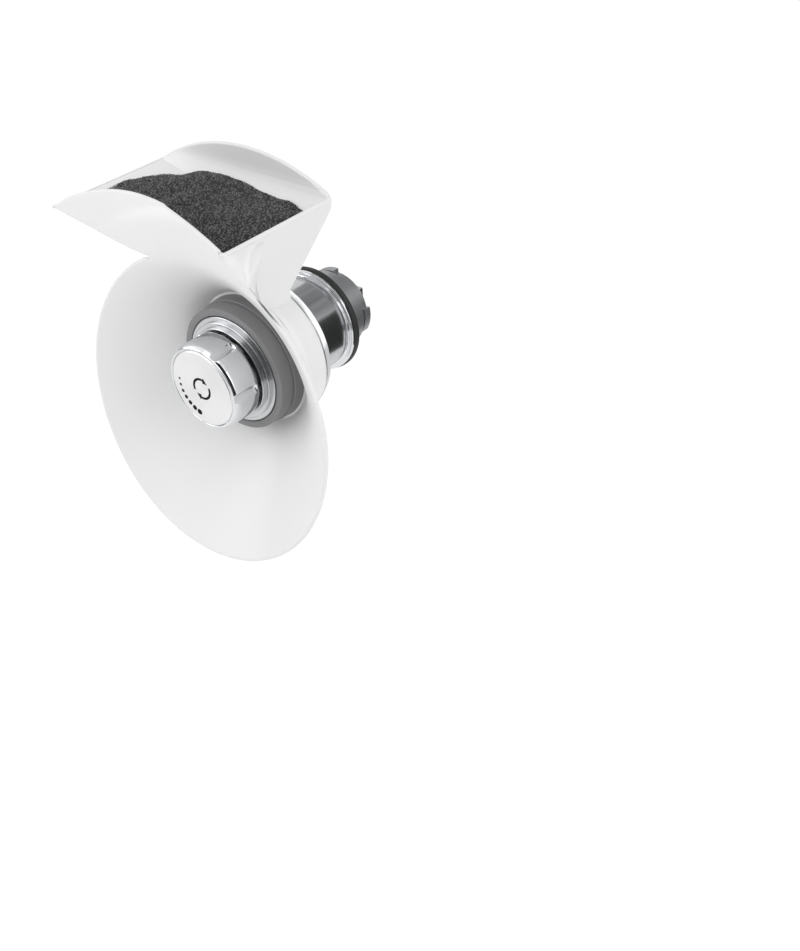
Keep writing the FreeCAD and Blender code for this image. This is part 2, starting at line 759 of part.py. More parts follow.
def make_clamp_ring():
    """Slip washer held in the nut; it presses on the outer burr's flange."""
    inner = burr_front_radius + clamp_hole_gap
    return tube(nose_radius - seat_gap, inner, y_clamp_front, y_burr_front)


def grip_cuts():
    """Six finger grooves along the knob's skirt, each with a round front end."""
    scoop = (grip_width / 2) ** 2 / (2 * grip_depth) + grip_depth / 2
    centre = knob_radius - grip_depth + scoop
    y_end = y_knob_front + knob_lip + grip_inset
    groove = cylinder(scoop, y_end, y_knob_rear + 1, centre)
    groove = groove.fuse(Part.makeSphere(scoop, V(centre, y_end, 0)))
    return Part.makeCompound(around(groove, grip_count, grip_first))


def make_knob_shell():
    """Chromed cup with a rounded lip and finger grooves."""
    inner = knob_radius - knob_wall - grip_depth
    y_inner = y_knob_floor + knob_wall
    lip_in = disc_radius + joint_gap
    start = V(knob_radius - lip_break, y_knob_front + knob_lip, 0)
    crest = V(knob_radius - lip_crown / 2, y_knob_front + lip_crown, 0)
    tip = V(lip_in + lip_crown, y_knob_front + lip_break, 0)
    lip = Part.Arc(start, crest, tip).toShape()
    nose = [tip, V(lip_in, y_knob_front + edge_break, 0), V(lip_in, y_knob_floor, 0)]
    nose += [V(0, y_knob_floor, 0), V(0, y_inner, 0), V(inner, y_inner, 0), V(inner, y_knob_rear, 0)]
    nose += [V(knob_radius - edge_break, y_knob_rear, 0), V(knob_radius, y_knob_rear - edge_break, 0)]
    outline = Part.Wire([lip] + Part.makePolygon(nose + [start]).Edges)
    cup = Part.Face(outline).revolve(ORIGIN, AXIS, 360)
    return cup.cut(grip_cuts())


def make_knob_disc():
    """Thin spun aluminium disc pressed into the knob's front."""
    profile = [(0, y_knob_front), (disc_radius - edge_break, y_knob_front)]
    profile += [(disc_radius, y_knob_front + edge_break)]
    profile += [(disc_radius, y_knob_front + disc_thickness), (0, y_knob_front + disc_thickness)]
    return turned(profile)


def make_knob_core():
    """Moulded core with ribs that carries the threaded insert in the cup."""
    y_to = y_knob_rear - 1
    outer = knob_radius - knob_wall - grip_depth - joint_gap
    hub = cylinder(core_hub_radius, y_core_front, y_to)
    ring = tube(outer, outer - core_wall, y_core_front, y_to)
    rib = box(core_hub_radius - 1, outer - core_wall / 2, y_core_front, y_to, -core_rib / 2, core_rib / 2)
    core = joined([hub, ring] + around(rib, grip_count, grip_first))
    return core.cut(insert_blank(joint_gap / 2, 1))


def insert_blank(gap, extra):
    """Hexagonal brass blank, or its pocket when a gap is given."""
    across = insert_radius + gap
    angles = [math.radians(60 * i) for i in range(7)]
    corners = [V(across * math.cos(a), y_core_front, across * math.sin(a)) for a in angles]
    length = y_washer - seat_gap - y_core_front + extra
    return Part.Face(Part.makePolygon(corners)).extrude(V(0, length, 0))


def make_knob_insert():
    """Threaded brass insert that screws along the shaft's front end."""
    bore = cylinder(thread_radius + joint_gap, y_knob_front, y_cone_hub)
    return insert_blank(0, 0).cut(bore)


def make_knob_washer():
    """Plastic washer between the cone's hub and the knob's insert."""
    return tube(core_hub_radius - 1, shaft_front_radius + body_gap, y_washer + seat_gap, y_cone_hub)


save(make_mill_body().cut(pin_holes()), "mill_body")
save(make_coupling_collar(), "coupling_collar")
save(make_collar_screws(), "collar_screws")
save(make_bearing_housing(), "bearing_housing")
save(make_lock_ring(), "lock_ring")
save(make_spigot(), "spigot")
save(make_collar_seal(), "collar_seal")
save(make_bush(y_barrel + seal_ring_width + seat_gap), "front_bush")
save(make_bush(spigot_length - dog_lead - bush_length), "rear_bush")
save(make_shaft_seal(), "shaft_seal")
save(make_drive_shaft(), "drive_shaft")
save(make_drive_dog(), "drive_dog")
save(make_dog_pin(), "dog_pin")
save(make_retaining_ring(), "retaining_ring")
save(make_thrust_washer(), "thrust_washer")
save(make_feed_screw(), "feed_screw")
save(make_key(screw_key_y()), "screw_key")
save(make_key(burr_key_y()), "burr_key")
save(make_outer_burr(), "outer_burr")
save(make_burr_pins(), "burr_pins")
save(make_burr_gasket(), "burr_gasket")
save(make_inner_burr(), "inner_burr")
save(make_burr_spring(), "burr_spring")
save(make_seat_ring(), "seat_ring")
save(make_ring_nut(), "ring_nut")
save(make_clamp_ring(), "clamp_ring")
save(make_knob_shell(), "knob_shell")
save(make_knob_disc(), "knob_disc")
save(make_knob_core(), "knob_core")
save(make_knob_insert(), "knob_insert")
save(make_knob_washer(), "knob_washer")
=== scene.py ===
import math

import bmesh
import bpy
import numpy as np
from mathutils import Matrix, Vector
from mathutils.geometry import delaunay_2d_cdt


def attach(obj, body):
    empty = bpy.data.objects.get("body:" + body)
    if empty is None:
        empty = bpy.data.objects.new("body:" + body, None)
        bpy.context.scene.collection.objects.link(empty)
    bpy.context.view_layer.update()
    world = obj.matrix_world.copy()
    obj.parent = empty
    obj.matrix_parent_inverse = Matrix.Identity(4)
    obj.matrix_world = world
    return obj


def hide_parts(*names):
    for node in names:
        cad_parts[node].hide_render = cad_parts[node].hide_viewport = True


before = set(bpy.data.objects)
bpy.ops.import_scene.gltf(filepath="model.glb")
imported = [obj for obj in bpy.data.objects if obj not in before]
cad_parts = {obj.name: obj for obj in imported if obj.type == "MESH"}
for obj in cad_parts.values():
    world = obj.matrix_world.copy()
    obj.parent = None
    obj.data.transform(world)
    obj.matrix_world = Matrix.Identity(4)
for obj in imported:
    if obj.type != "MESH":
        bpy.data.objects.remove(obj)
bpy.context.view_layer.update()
MM = 0.001

# ---------------------------------------------------------------- camera
# The camera stands off the dish's right shoulder and looks down on the hopper and the knob.
# Its place is in millimetres in the mill's own frame.
camera_place = Vector((397.1, -418.9, 313.0)) * MM
camera_turn = math.radians(39.53)
camera_dip = math.radians(36.26)
camera_roll = math.radians(-2.97)
focal_pixels = 1199.38
image_width = 800

level_right = Vector((math.cos(camera_turn), math.sin(camera_turn), 0))
level_up = Vector((
    -math.sin(camera_turn) * math.sin(camera_dip),
    math.cos(camera_turn) * math.sin(camera_dip),
    math.cos(camera_dip),
))
right = math.cos(camera_roll) * level_right + math.sin(camera_roll) * level_up
up = math.cos(camera_roll) * level_up - math.sin(camera_roll) * level_right
back = right.cross(up)


def placed(name, data):
    """Put a new object into the scene."""
    thing = bpy.data.objects.new(name, data)
    bpy.context.scene.collection.objects.link(thing)
    return thing


camera_data = bpy.data.cameras.new("camera")
camera_data.sensor_fit = "HORIZONTAL"
camera_data.sensor_width = 36
camera_data.lens = focal_pixels / image_width * camera_data.sensor_width
camera = placed("camera", camera_data)
camera.matrix_world = Matrix((
    (right.x, up.x, back.x, camera_place.x),
    (right.y, up.y, back.y, camera_place.y),
    (right.z, up.z, back.z, camera_place.z),
    (0, 0, 0, 1),
))
bpy.context.scene.camera = camera
bpy.context.scene.view_settings.view_transform = "Standard"

# ---------------------------------------------------------------- studio
# A white room with four soft boxes: overhead, in front, on the left and on the right.
# Dark, grey and white cards and a dark strip stand outside the picture for the metal to mirror.
mill_middle = (0, -0.06, 0)
collar_middle = (0.02, -0.02, 0.02)
strip_reach = 0.95
strip_half = 0.42
strip_steps = 32
floor_drop = -0.33
floor_size = 12
floor_glow_strength = 1.06
floor_glow_share = 0.86
room_strength = 0.88


def grey(tone):
    return (tone, tone, tone, 1)


def aimed(name, data, place, target, axis):
    """An object that stands at one place and turns one of its axes to another."""
    thing = placed(name, data)
    thing.location = place
    thing.rotation_euler = (Vector(target) - Vector(place)).to_track_quat(axis, "Y").to_euler()
    return thing


def soft_box(name, place, width, height, power):
    """A rectangular lamp aimed at the mill."""
    data = bpy.data.lights.new(name, "AREA")
    data.shape = "RECTANGLE"
    data.size = width
    data.size_y = height
    data.energy = power
    aimed(name, data, place, mill_middle, "-Z")


def plain_material(name, **sockets):
    """A Principled material with some sockets set, their names written with underscores."""
    material = bpy.data.materials.new(name)
    material.use_nodes = True
    shader = material.node_tree.nodes["Principled BSDF"]
    for socket, value in sockets.items():
        shader.inputs[socket.replace("_", " ")].default_value = value
    return material


def tone_ramp(tree, stops):
    """A colour ramp with a tone at each stop."""
    node = tree.nodes.new("ShaderNodeValToRGB")
    elements = node.color_ramp.elements
    first, *between, last = stops
    for element, (position, tone) in ((elements[0], first), (elements[1], last)):
        element.position = position
        element.color = tone
    for position, tone in between:
        elements.new(position).color = tone
    return node


def mixed(tree, share, first, second):
    """A mix of two shaders, by a number or by a socket."""
    node = tree.nodes.new("ShaderNodeMixShader")
    if isinstance(share, float):
        node.inputs["Fac"].default_value = share
    else:
        tree.links.new(share, node.inputs["Fac"])
    tree.links.new(first, node.inputs[1])
    tree.links.new(second, node.inputs[2])
    return node.outputs["Shader"]


def flat_card(name, place, target, width, height, material):
    """A flat sheet that faces a target and isn't part of the mill."""
    mesh = bpy.data.meshes.new(name)
    w, h = width / 2, height / 2
    mesh.from_pydata([(-w, -h, 0), (w, -h, 0), (w, h, 0), (-w, h, 0)], [], [(0, 1, 2, 3)])
    mesh.materials.append(material)
    card = aimed(name, mesh, place, target, "Z")
    return card


soft_box("top_box", (0.05, -0.3, 1.0), 0.9, 0.9, 0.7)
soft_box("front_box", (-0.1, -1.05, 0.68), 1.0, 0.8, 2.3)
soft_box("left_box", (-0.85, -0.6, 0.4), 0.7, 0.7, 2.1)
soft_box("right_box", (1.0, 0.1, 0.35), 0.7, 0.9, 3.2)

black_card = plain_material("card_black", Base_Color=grey(0.015), Roughness=0.9)
white_card = plain_material("card_white", Emission_Color=grey(1), Emission_Strength=1.0)
grey_card = plain_material("card_grey")
card_tree = grey_card.node_tree
card_clouds = card_tree.nodes.new("ShaderNodeTexNoise")
card_clouds.inputs["Scale"].default_value = 9
card_tones = tone_ramp(card_tree, ((0.35, grey(0.12)), (0.65, grey(0.5))))
card_tree.links.new(card_clouds.outputs["Fac"], card_tones.inputs["Fac"])
card_tree.links.new(card_tones.outputs["Color"], card_tree.nodes["Principled BSDF"].inputs["Base Color"])
cards = [
    flat_card("back_card", (0.27, 0.24, -0.07), collar_middle, 0.30, 0.48, black_card),
    flat_card("upper_card", (0.04, 0.36, 0.44), collar_middle, 0.80, 0.52, grey_card),
    flat_card("rear_card", (-0.17, 0.92, -0.07), (0.02, -0.02, 0.0), 1.0, 0.5, white_card),
]

# The dark gap between the boxes: a strip that arches from low on the right to overhead.
strip_line = [Vector(p).normalized() for p in (
    (0.72, -0.34, -0.56), (0.80, -0.48, 0.24), (0.20, -0.45, 0.82))]
strip_along = (strip_line[2] - strip_line[0]).normalized()
strip_places = []
for i in range(strip_steps + 1):
    s = i / strip_steps * 2
    a, b = (strip_line[0], strip_line[1]) if s <= 1 else (strip_line[1], strip_line[2])
    toward = a.slerp(b, s if s <= 1 else s - 1)
    across = toward.cross(strip_along).normalized()
    middle = Vector(mill_middle) + toward * strip_reach
    strip_places += [middle - across * strip_half, middle + across * strip_half]
strip_mesh = bpy.data.meshes.new("dark_gap")
strip_mesh.from_pydata(strip_places, [], [
    (2 * i, 2 * i + 1, 2 * i + 3, 2 * i + 2) for i in range(strip_steps)])
strip_mesh.materials.append(black_card)
dark_gap = placed("dark_gap", strip_mesh)
for card in cards + [dark_gap]:
    card.visible_camera = False
    card.visible_diffuse = False
    card.visible_shadow = False

floor_material = plain_material("floor_white", Base_Color=grey(0.93), Roughness=0.6)
floor_tree = floor_material.node_tree
floor_shader = floor_tree.nodes["Principled BSDF"].outputs["BSDF"]
floor_glow = floor_tree.nodes.new("ShaderNodeEmission")
floor_glow.inputs["Strength"].default_value = floor_glow_strength
floor_rays = floor_tree.nodes.new("ShaderNodeLightPath")
floor_seen = mixed(floor_tree, floor_glow_share, floor_shader, floor_glow.outputs["Emission"])
floor_look = mixed(floor_tree, floor_rays.outputs["Is Camera Ray"], floor_shader, floor_seen)
floor_tree.links.new(floor_look, floor_tree.nodes["Material Output"].inputs["Surface"])
flat_card("floor", (0, 0, floor_drop), (0, 0, 1), floor_size, floor_size, floor_material)

# The room lights evenly, shows white to the camera and a dark band at eye level to metal.
world = bpy.data.worlds.new("room")
bpy.context.scene.world = world
world.use_nodes = True
room_tree = world.node_tree
room_nodes = room_tree.nodes
room_nodes.clear()
room_output = room_nodes.new("ShaderNodeOutputWorld")
room_light = room_nodes.new("ShaderNodeBackground")
room_light.inputs["Strength"].default_value = room_strength
room_white = room_nodes.new("ShaderNodeBackground")
room_white.inputs["Color"].default_value = grey(1)
room_mirror = room_nodes.new("ShaderNodeBackground")
room_rays = room_nodes.new("ShaderNodeLightPath")
room_direction = room_nodes.new("ShaderNodeTexCoord")
room_split = room_nodes.new("ShaderNodeSeparateXYZ")
room_spread = room_nodes.new("ShaderNodeMapRange")
room_spread.inputs["From Min"].default_value = -1
room_bands = tone_ramp(room_tree, (
    (0.0, grey(0.75)), (0.40, grey(0.9)), (0.47, grey(0.35)), (0.53, grey(0.3)),
    (0.60, grey(0.85)), (0.8, grey(1)), (1.0, grey(1)),
))
room_tree.links.new(room_direction.outputs["Generated"], room_split.inputs["Vector"])
room_tree.links.new(room_split.outputs["Z"], room_spread.inputs["Value"])
room_tree.links.new(room_spread.outputs["Result"], room_bands.inputs["Fac"])
room_tree.links.new(room_bands.outputs["Color"], room_mirror.inputs["Color"])
room_unseen = mixed(room_tree, room_rays.outputs["Is Glossy Ray"],
                    room_light.outputs["Background"], room_mirror.outputs["Background"])
room_look = mixed(room_tree, room_rays.outputs["Is Camera Ray"],
                  room_unseen, room_white.outputs["Background"])
room_tree.links.new(room_look, room_output.inputs["Surface"])


# ---------------------------------------------------------------- cast metal core
# Bearing housing, spigot and feed screw are die-cast light metal, tumbled and left bare.
# The core sits inside the steel collar; the spigot and its lugs plug into the mixer.
def sum_of(tree, kind, first, second=None, third=None):
    """One maths node on sockets or numbers."""
    node = tree.nodes.new("ShaderNodeMath")
    node.operation = kind
    for socket, value in zip(node.inputs, (first, second, third)):
        if isinstance(value, (int, float)):
            socket.default_value = value
        elif value is not None:
            tree.links.new(value, socket)
    return node.outputs["Value"]


def new_pattern(name):
    """An empty pattern for finishes, with the sockets at its two ends."""
    pattern = bpy.data.node_groups.new(name, "ShaderNodeTree")
    for socket, kind in (("Scale", "Float"), ("Tone", "Color"), ("Depth", "Float"),
                         ("Roughness", "Float"), ("Spread", "Float")):
        pattern.interface.new_socket(socket, in_out="INPUT", socket_type="NodeSocket" + kind)
    for socket, kind in (("Color", "Color"), ("Roughness", "Float"), ("Height", "Float")):
        pattern.interface.new_socket(socket, in_out="OUTPUT", socket_type="NodeSocket" + kind)
    given = pattern.nodes.new("NodeGroupInput").outputs
    result = pattern.nodes.new("NodeGroupOutput").inputs
    return pattern, given, result


def vary(pattern, given, result, broad_noise, fine_noise):
    """Swing the tone by one noise, and the roughness and height by another."""
    tint = pattern.nodes.new("ShaderNodeMix")
    tint.data_type = "RGBA"
    tint.blend_type = "MULTIPLY"
    tint.inputs["Factor"].default_value = 1.0
    tone_swing = sum_of(pattern, "SUBTRACT", broad_noise, 0.5)
    tone_share = sum_of(pattern, "MULTIPLY_ADD", tone_swing, given["Depth"], 1.0)
    rough_swing = sum_of(pattern, "SUBTRACT", fine_noise, 0.5)
    roughness = sum_of(pattern, "MULTIPLY_ADD", rough_swing, given["Spread"], given["Roughness"])
    pattern.links.new(given["Tone"], tint.inputs["A"])
    pattern.links.new(tone_share, tint.inputs["B"])
    pattern.links.new(tint.outputs["Result"], result["Color"])
    pattern.links.new(roughness, result["Roughness"])
    pattern.links.new(fine_noise, result["Height"])


def finish(name, pattern, values, metallic=0.0, bump=0.1, **sockets):
    """One finish: a Principled shader whose colour, roughness and bump come from a pattern."""
    material = plain_material(name, Metallic=metallic, **sockets)
    tree = material.node_tree
    shader = tree.nodes["Principled BSDF"]
    source = tree.nodes.new("ShaderNodeGroup")
    source.node_tree = pattern
    for socket, value in values.items():
        source.inputs[socket].default_value = value
    relief = tree.nodes.new("ShaderNodeBump")
    relief.inputs["Strength"].default_value = bump
    relief.inputs["Distance"].default_value = 0.05 * MM
    tree.links.new(source.outputs["Color"], shader.inputs["Base Color"])
    tree.links.new(source.outputs["Roughness"], shader.inputs["Roughness"])
    tree.links.new(source.outputs["Height"], relief.inputs["Height"])
    tree.links.new(relief.outputs["Normal"], shader.inputs["Normal"])
    return material


def wear(material, *nodes):
    """Give CAD nodes their finish."""
    for node in nodes:
        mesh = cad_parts[node].data
        mesh.materials.clear()
        mesh.materials.append(material)


# Grain: a broad noise for the tone and a fine one for the surface, for castings and mouldings.
grain, given, result = new_pattern("grain")
grain_place = grain.nodes.new("ShaderNodeTexCoord").outputs["Object"]
fine = grain.nodes.new("ShaderNodeTexNoise")
fine.inputs["Detail"].default_value = 3
broad = grain.nodes.new("ShaderNodeTexNoise")
broad.inputs["Scale"].default_value = 28
broad.inputs["Detail"].default_value = 2
grain.links.new(grain_place, fine.inputs["Vector"])
grain.links.new(grain_place, broad.inputs["Vector"])
grain.links.new(given["Scale"], fine.inputs["Scale"])
vary(grain, given, result, broad.outputs["Fac"], fine.outputs["Fac"])

cast_metal = finish("cast_metal", grain, {
    "Scale": 900, "Tone": (0.42, 0.43, 0.44, 1), "Depth": 0.35, "Roughness": 0.42, "Spread": 0.25,
}, metallic=1.0, bump=0.5)
wear(cast_metal, "bearing_housing", "spigot", "feed_screw")

# ---------------------------------------------------------------- shaft line
# Turned steel shaft with its dog, keys, clip, washers and spring, in two sintered bushes.
# All of it is bright steel from the lathe, with fine rings round the mill's axis.
turned_marks, given, result = new_pattern("turned_marks")
made = turned_marks.nodes
link = turned_marks.links.new
marks_split = made.new("ShaderNodeSeparateXYZ")
link(made.new("ShaderNodeTexCoord").outputs["Object"], marks_split.inputs["Vector"])
flat_place = made.new("ShaderNodeCombineXYZ")
link(marks_split.outputs["X"], flat_place.inputs["X"])
link(marks_split.outputs["Z"], flat_place.inputs["Y"])
marks_radius = made.new("ShaderNodeVectorMath")
marks_radius.operation = "LENGTH"
link(flat_place.outputs["Vector"], marks_radius.inputs[0])
ring_place = made.new("ShaderNodeCombineXYZ")
link(marks_radius.outputs["Value"], ring_place.inputs["X"])
link(marks_split.outputs["Y"], ring_place.inputs["Y"])
rings = made.new("ShaderNodeTexNoise")
rings.inputs["Detail"].default_value = 4
link(ring_place.outputs["Vector"], rings.inputs["Vector"])
link(given["Scale"], rings.inputs["Scale"])
vary(turned_marks, given, result, rings.outputs["Fac"], rings.outputs["Fac"])

bright_steel = finish("bright_steel", turned_marks, {
    "Scale": 2200, "Tone": (0.52, 0.53, 0.54, 1), "Depth": 0.3, "Roughness": 0.26, "Spread": 0.2,
}, metallic=1.0, bump=0.25)
bronze = finish("bronze", grain, {
    "Scale": 1600, "Tone": (0.45, 0.27, 0.12, 1), "Depth": 0.5, "Roughness": 0.45, "Spread": 0.2,
}, metallic=1.0, bump=0.4)
spring_steel = finish("spring_steel", grain, {
    "Scale": 2500, "Tone": (0.30, 0.30, 0.31, 1), "Depth": 0.3, "Roughness": 0.32, "Spread": 0.15,
}, metallic=1.0, bump=0.1)
wear(bright_steel, "drive_shaft", "drive_dog", "dog_pin", "retaining_ring", "thrust_washer",
     "screw_key", "burr_key", "burr_pins", "collar_screws")
wear(bronze, "front_bush", "rear_bush")
wear(spring_steel, "burr_spring")


# ---------------------------------------------------------------- coupling collar
# Stainless steel collar, turned in one piece with its flange and polished to a mirror.
# Four countersunk screws hold its flange to the white moulding.
def eased(corners, radius, steps=4):
    """An outline with each corner eased into a short curve."""
    count = len(corners)
    places = [Vector(corner[:2]) for corner in corners]
    points = []
    for index, corner in enumerate(places):
        before = places[index - 1] - corner
        after = places[(index + 1) % count] - corner
        wanted = corners[index][2] if len(corners[index]) > 2 else radius
        reach = min(wanted, 0.45 * before.length, 0.45 * after.length)
        start = corner + before.normalized() * reach
        end = corner + after.normalized() * reach
        for step in range(steps + 1):
            s = step / steps
            points.append(start * (1 - s) ** 2 + corner * 2 * s * (1 - s) + end * s * s)
    return points

def ring_faces(segments, count):
    """Faces of a closed outline of count points, turned in so many segments."""
    faces = []
    for i in range(segments):
        for j in range(count):
            a, b = i * count, (i + 1) % segments * count
            k = (j + 1) % count
            faces.append((a + j, a + k, b + k, b + j))
    return faces


def turned(name, outline, segments=180, sharp=40):
    """A ring or plug turned about the mill's axis from a closed (radius, y) outline."""
    turn = np.linspace(0, 2 * math.pi, segments, endpoint=False)
    line = np.array([tuple(point) for point in outline])
    x = np.outer(np.cos(turn), line[:, 0])
    z = np.outer(np.sin(turn), line[:, 0])
    y = np.tile(line[:, 1], (segments, 1))
    places = np.stack([x, y, z], axis=2).reshape(-1, 3) * MM
    mesh = bpy.data.meshes.new(name)
    mesh.from_pydata(places.tolist(), [], ring_faces(segments, len(outline)))
    return settled(name, mesh, sharp)


def meshed(name, shape):
    """Turn a finished bmesh into a mesh."""
    mesh = bpy.data.meshes.new(name)
    shape.to_mesh(mesh)
    shape.free()
    return mesh


def crisp(mesh, sharp):
    """Shade smooth, but for edges sharper than so many degrees."""
    mesh.shade_smooth()
    mesh.set_sharp_from_angle(angle=math.radians(sharp))


def settled(name, mesh, sharp):
    """Merge doubles, turn the faces outwards, shade smooth and put the piece in the scene."""
    shape = bmesh.new()
    shape.from_mesh(mesh)
    bmesh.ops.remove_doubles(shape, verts=shape.verts, dist=0.002 * MM)
    bmesh.ops.dissolve_degenerate(shape, edges=shape.edges, dist=0.001 * MM)
    bmesh.ops.recalc_face_normals(shape, faces=shape.faces)
    shape.to_mesh(mesh)
    shape.free()
    crisp(mesh, sharp)
    return placed(name, mesh)


def fit(piece, node, body, material):
    """Put a piece in a CAD node's place, on its body and in its finish."""
    piece.data.materials.clear()
    piece.data.materials.append(material)
    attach(piece, body)
    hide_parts(node)


def block(name, outline, axis, low, high):
    """A flat outline pushed along one axis into a closed block, in metres."""
    shape = bmesh.new()
    place = {
        "x": lambda a, b, c: (c, a, b),
        "y": lambda a, b, c: (a, c, b),
        "z": lambda a, b, c: (a, b, c),
    }[axis]
    ends = [[shape.verts.new(Vector(place(a, b, c)) * MM) for a, b in outline] for c in (low, high)]
    for end in ends:
        shape.faces.new(end)
    count = len(outline)
    for i in range(count):
        j = (i + 1) % count
        shape.faces.new((ends[0][i], ends[0][j], ends[1][j], ends[1][i]))
    bmesh.ops.recalc_face_normals(shape, faces=shape.faces)
    return placed(name, meshed(name, shape))


def carve(target, tool, operation):
    """Cut one block by another, or keep what they share, and take the tool away."""
    modifier = target.modifiers.new("carve", "BOOLEAN")
    modifier.operation = operation
    modifier.solver = "EXACT"
    modifier.object = tool
    graph = bpy.context.evaluated_depsgraph_get()
    mesh = bpy.data.meshes.new_from_object(target.evaluated_get(graph))
    target.modifiers.clear()
    target.data = mesh
    bpy.data.objects.remove(tool)


def round_line(radius, steps):
    """A circle about the mill's axis, as (x, z) points."""
    turns = np.linspace(0, 2 * math.pi, steps, endpoint=False)
    return [(radius * math.cos(a), radius * math.sin(a)) for a in turns]


collar_radius = 25.8
collar_wall, collar_step = 2, 1
flange_radius = 38.0
flange_rear_radius = 35.5
flange_land = 0.7
centring_outer, centring_inner, centring_height = 35.5, 34.0, 1.2
screw_circle, screw_head_radius = 30.5, 3.05
seat_depth, seat_over = 2.5, 1
y_barrel = -37.7
y_flange = -31.4
y_collar = -8.4
y_lock = -7.6
mirror_steel = finish("mirror_steel", turned_marks, {
    "Scale": 1500, "Tone": (0.60, 0.61, 0.62, 1), "Depth": 0.1, "Roughness": 0.19, "Spread": 0.1,
}, metallic=1.0, bump=0.05)
collar_line = [
    (collar_radius - collar_wall, y_lock), (collar_radius - collar_step, y_lock),
    (collar_radius - collar_step, y_collar), (collar_radius, y_collar), (collar_radius, y_flange),
    (flange_rear_radius, y_flange), (flange_radius, y_barrel + flange_land), (flange_radius, y_barrel),
    (centring_outer, y_barrel), (centring_outer, y_barrel - centring_height),
    (centring_inner, y_barrel - centring_height), (centring_inner, y_barrel),
    (collar_radius - collar_wall, y_barrel),
]
collar = turned("collar", eased(collar_line, 0.5))
for quarter in range(4):
    a = math.radians(45 + 90 * quarter)
    seat = [(screw_circle * math.cos(a) + x, screw_circle * math.sin(a) + z)
            for x, z in round_line(screw_head_radius, 32)]
    carve(collar, block("screw_seat", seat, "y", y_flange - seat_depth, y_flange + seat_over), "DIFFERENCE")
crisp(collar.data, 40)
fit(collar, "coupling_collar", "housing", mirror_steel)

# ---------------------------------------------------------------- lock ring and seal
# A chromed ring stepped in two behind the collar, and a black rubber seal that meets the mixer.
# Both are pressed onto the spigot's shoulder.
chrome = finish("chrome", grain, {
    "Scale": 300, "Tone": (0.80, 0.81, 0.83, 1), "Depth": 0.03, "Roughness": 0.045, "Spread": 0.02,
}, metallic=1.0, bump=0.02)
black_rubber = finish("black_rubber", grain, {
    "Scale": 1400, "Tone": (0.018, 0.018, 0.019, 1), "Depth": 0.5, "Roughness": 0.5, "Spread": 0.2,
}, bump=0.4)
grey_rubber = finish("grey_rubber", grain, {
    "Scale": 1400, "Tone": (0.16, 0.16, 0.16, 1), "Depth": 0.4, "Roughness": 0.6, "Spread": 0.2,
}, bump=0.4)
lock_bore, lock_neck, lock_waist, lock_radius = 23.8, 25.8, 27.3, 28.8
y_waist = -5.8
waist_edge = 0.5
seal_bore, seal_mouth, seal_face, seal_radius = 21.1, 22.8, 28.6, 29.4
seal_edge, seal_bevel = 0.8, 1.7
y_seal = -4.0
lock_line = [
    (lock_bore, y_lock), (lock_neck, y_lock), (lock_waist, y_lock + waist_edge), (lock_waist, y_waist),
    (lock_radius - waist_edge, y_waist), (lock_radius, y_waist + waist_edge), (lock_radius, y_seal),
    (lock_bore, y_seal),
]
lock_ring = turned("lock_ring_chrome", eased(lock_line, 0.35))
fit(lock_ring, "lock_ring", "housing", chrome)
seal_line = [
    (seal_bore, y_seal), (seal_face, y_seal), (seal_radius, y_seal + seal_edge),
    (seal_radius, -seal_edge), (seal_face, 0), (seal_mouth, 0), (seal_bore, -seal_bevel),
]
seal = turned("mixer_seal", eased(seal_line, 0.6))
fit(seal, "collar_seal", "housing", black_rubber)
wear(black_rubber, "shaft_seal")
wear(grey_rubber, "burr_gasket")

# ---------------------------------------------------------------- white moulding
# Hopper, dish and barrel are one injection moulding in white plastic, about 2.4 mm thick.
# The dish's face runs up into the hopper's front wall, and its rim curls into the near corner.
y_dish = -51.0
tip_x, tip_z = -105.0, 68.0
arch_x, arch_z = -43.0, 88.3
corner_x, corner_z = 19.0, 73.0
wall = 2.4
dish_base_radius = 36.0
dish_radius = 80.9
dish_reach = 39.7
dish_drop = 13.6
dish_tilt = math.radians(8.5)
dish_curl = 0.3
hopper_front_y = -80.0
hopper_rear_y = -0.2
floor_slope = 0.13
floor_bend_x, floor_bend_z = -36.0, 40.0
neck_left_x = -14.4
slope_top_z = 71.0
slope_foot_y, slope_foot_z = -38.5, 38.3
chamber_radius = 18.0
nose_radius, nose_bore = 31.3, 29.0
y_nose = -60.5
face_wall, face_wall_loss = 2.3, 1.1
face_blend = 5.0
front_relief, front_foot_z, front_slant = 0.6, 58, 1.5
face_halvings = 44
arch_steps = 80
rim_steps = 300
notch_x = -34.4
notch_round = 2.4
corner_round, corner_round_z, corner_round_rise = 4.6, 60, 12
curl_low_z, curl_right_x = 56, 42
hole_radius = 32.5
hole_steps = 120
edge_rows = (0.16, 0.6, 1.3, 2.2, 3.3, 4.6)
edge_clear, edge_band = 0.1, 5.2
hub_rings = (34.2, 35.9, 36.6, 38.0, 39.6)
hub_clear, hub_band = 0.5, 41
spacing = 2.2
row_spacing = spacing * 0.866
round_steps = 10
sweep_low_z, sweep_rise = 46, 13
sweep_reach, sweep_reach_gain = 8, 14.4
sweep_clear = 1.0
rim_round = 1.2
pilot_bore = 35.6


def arch_height(x):
    """Height of the hopper's arched top: a circle through tip, crown and corner."""
    a, b, c = Vector((tip_x, tip_z)), Vector((arch_x, arch_z)), Vector((corner_x, corner_z))
    d = 2 * (a.x * (b.y - c.y) + b.x * (c.y - a.y) + c.x * (a.y - b.y))
    aa, bb, cc = a.length_squared, b.length_squared, c.length_squared
    middle_x = (aa * (b.y - c.y) + bb * (c.y - a.y) + cc * (a.y - b.y)) / d
    middle_z = (aa * (c.x - b.x) + bb * (a.x - c.x) + cc * (b.x - a.x)) / d
    radius = math.hypot(a.x - middle_x, a.y - middle_z)
    return middle_z + np.sqrt(radius ** 2 - (np.asarray(x) - middle_x) ** 2)


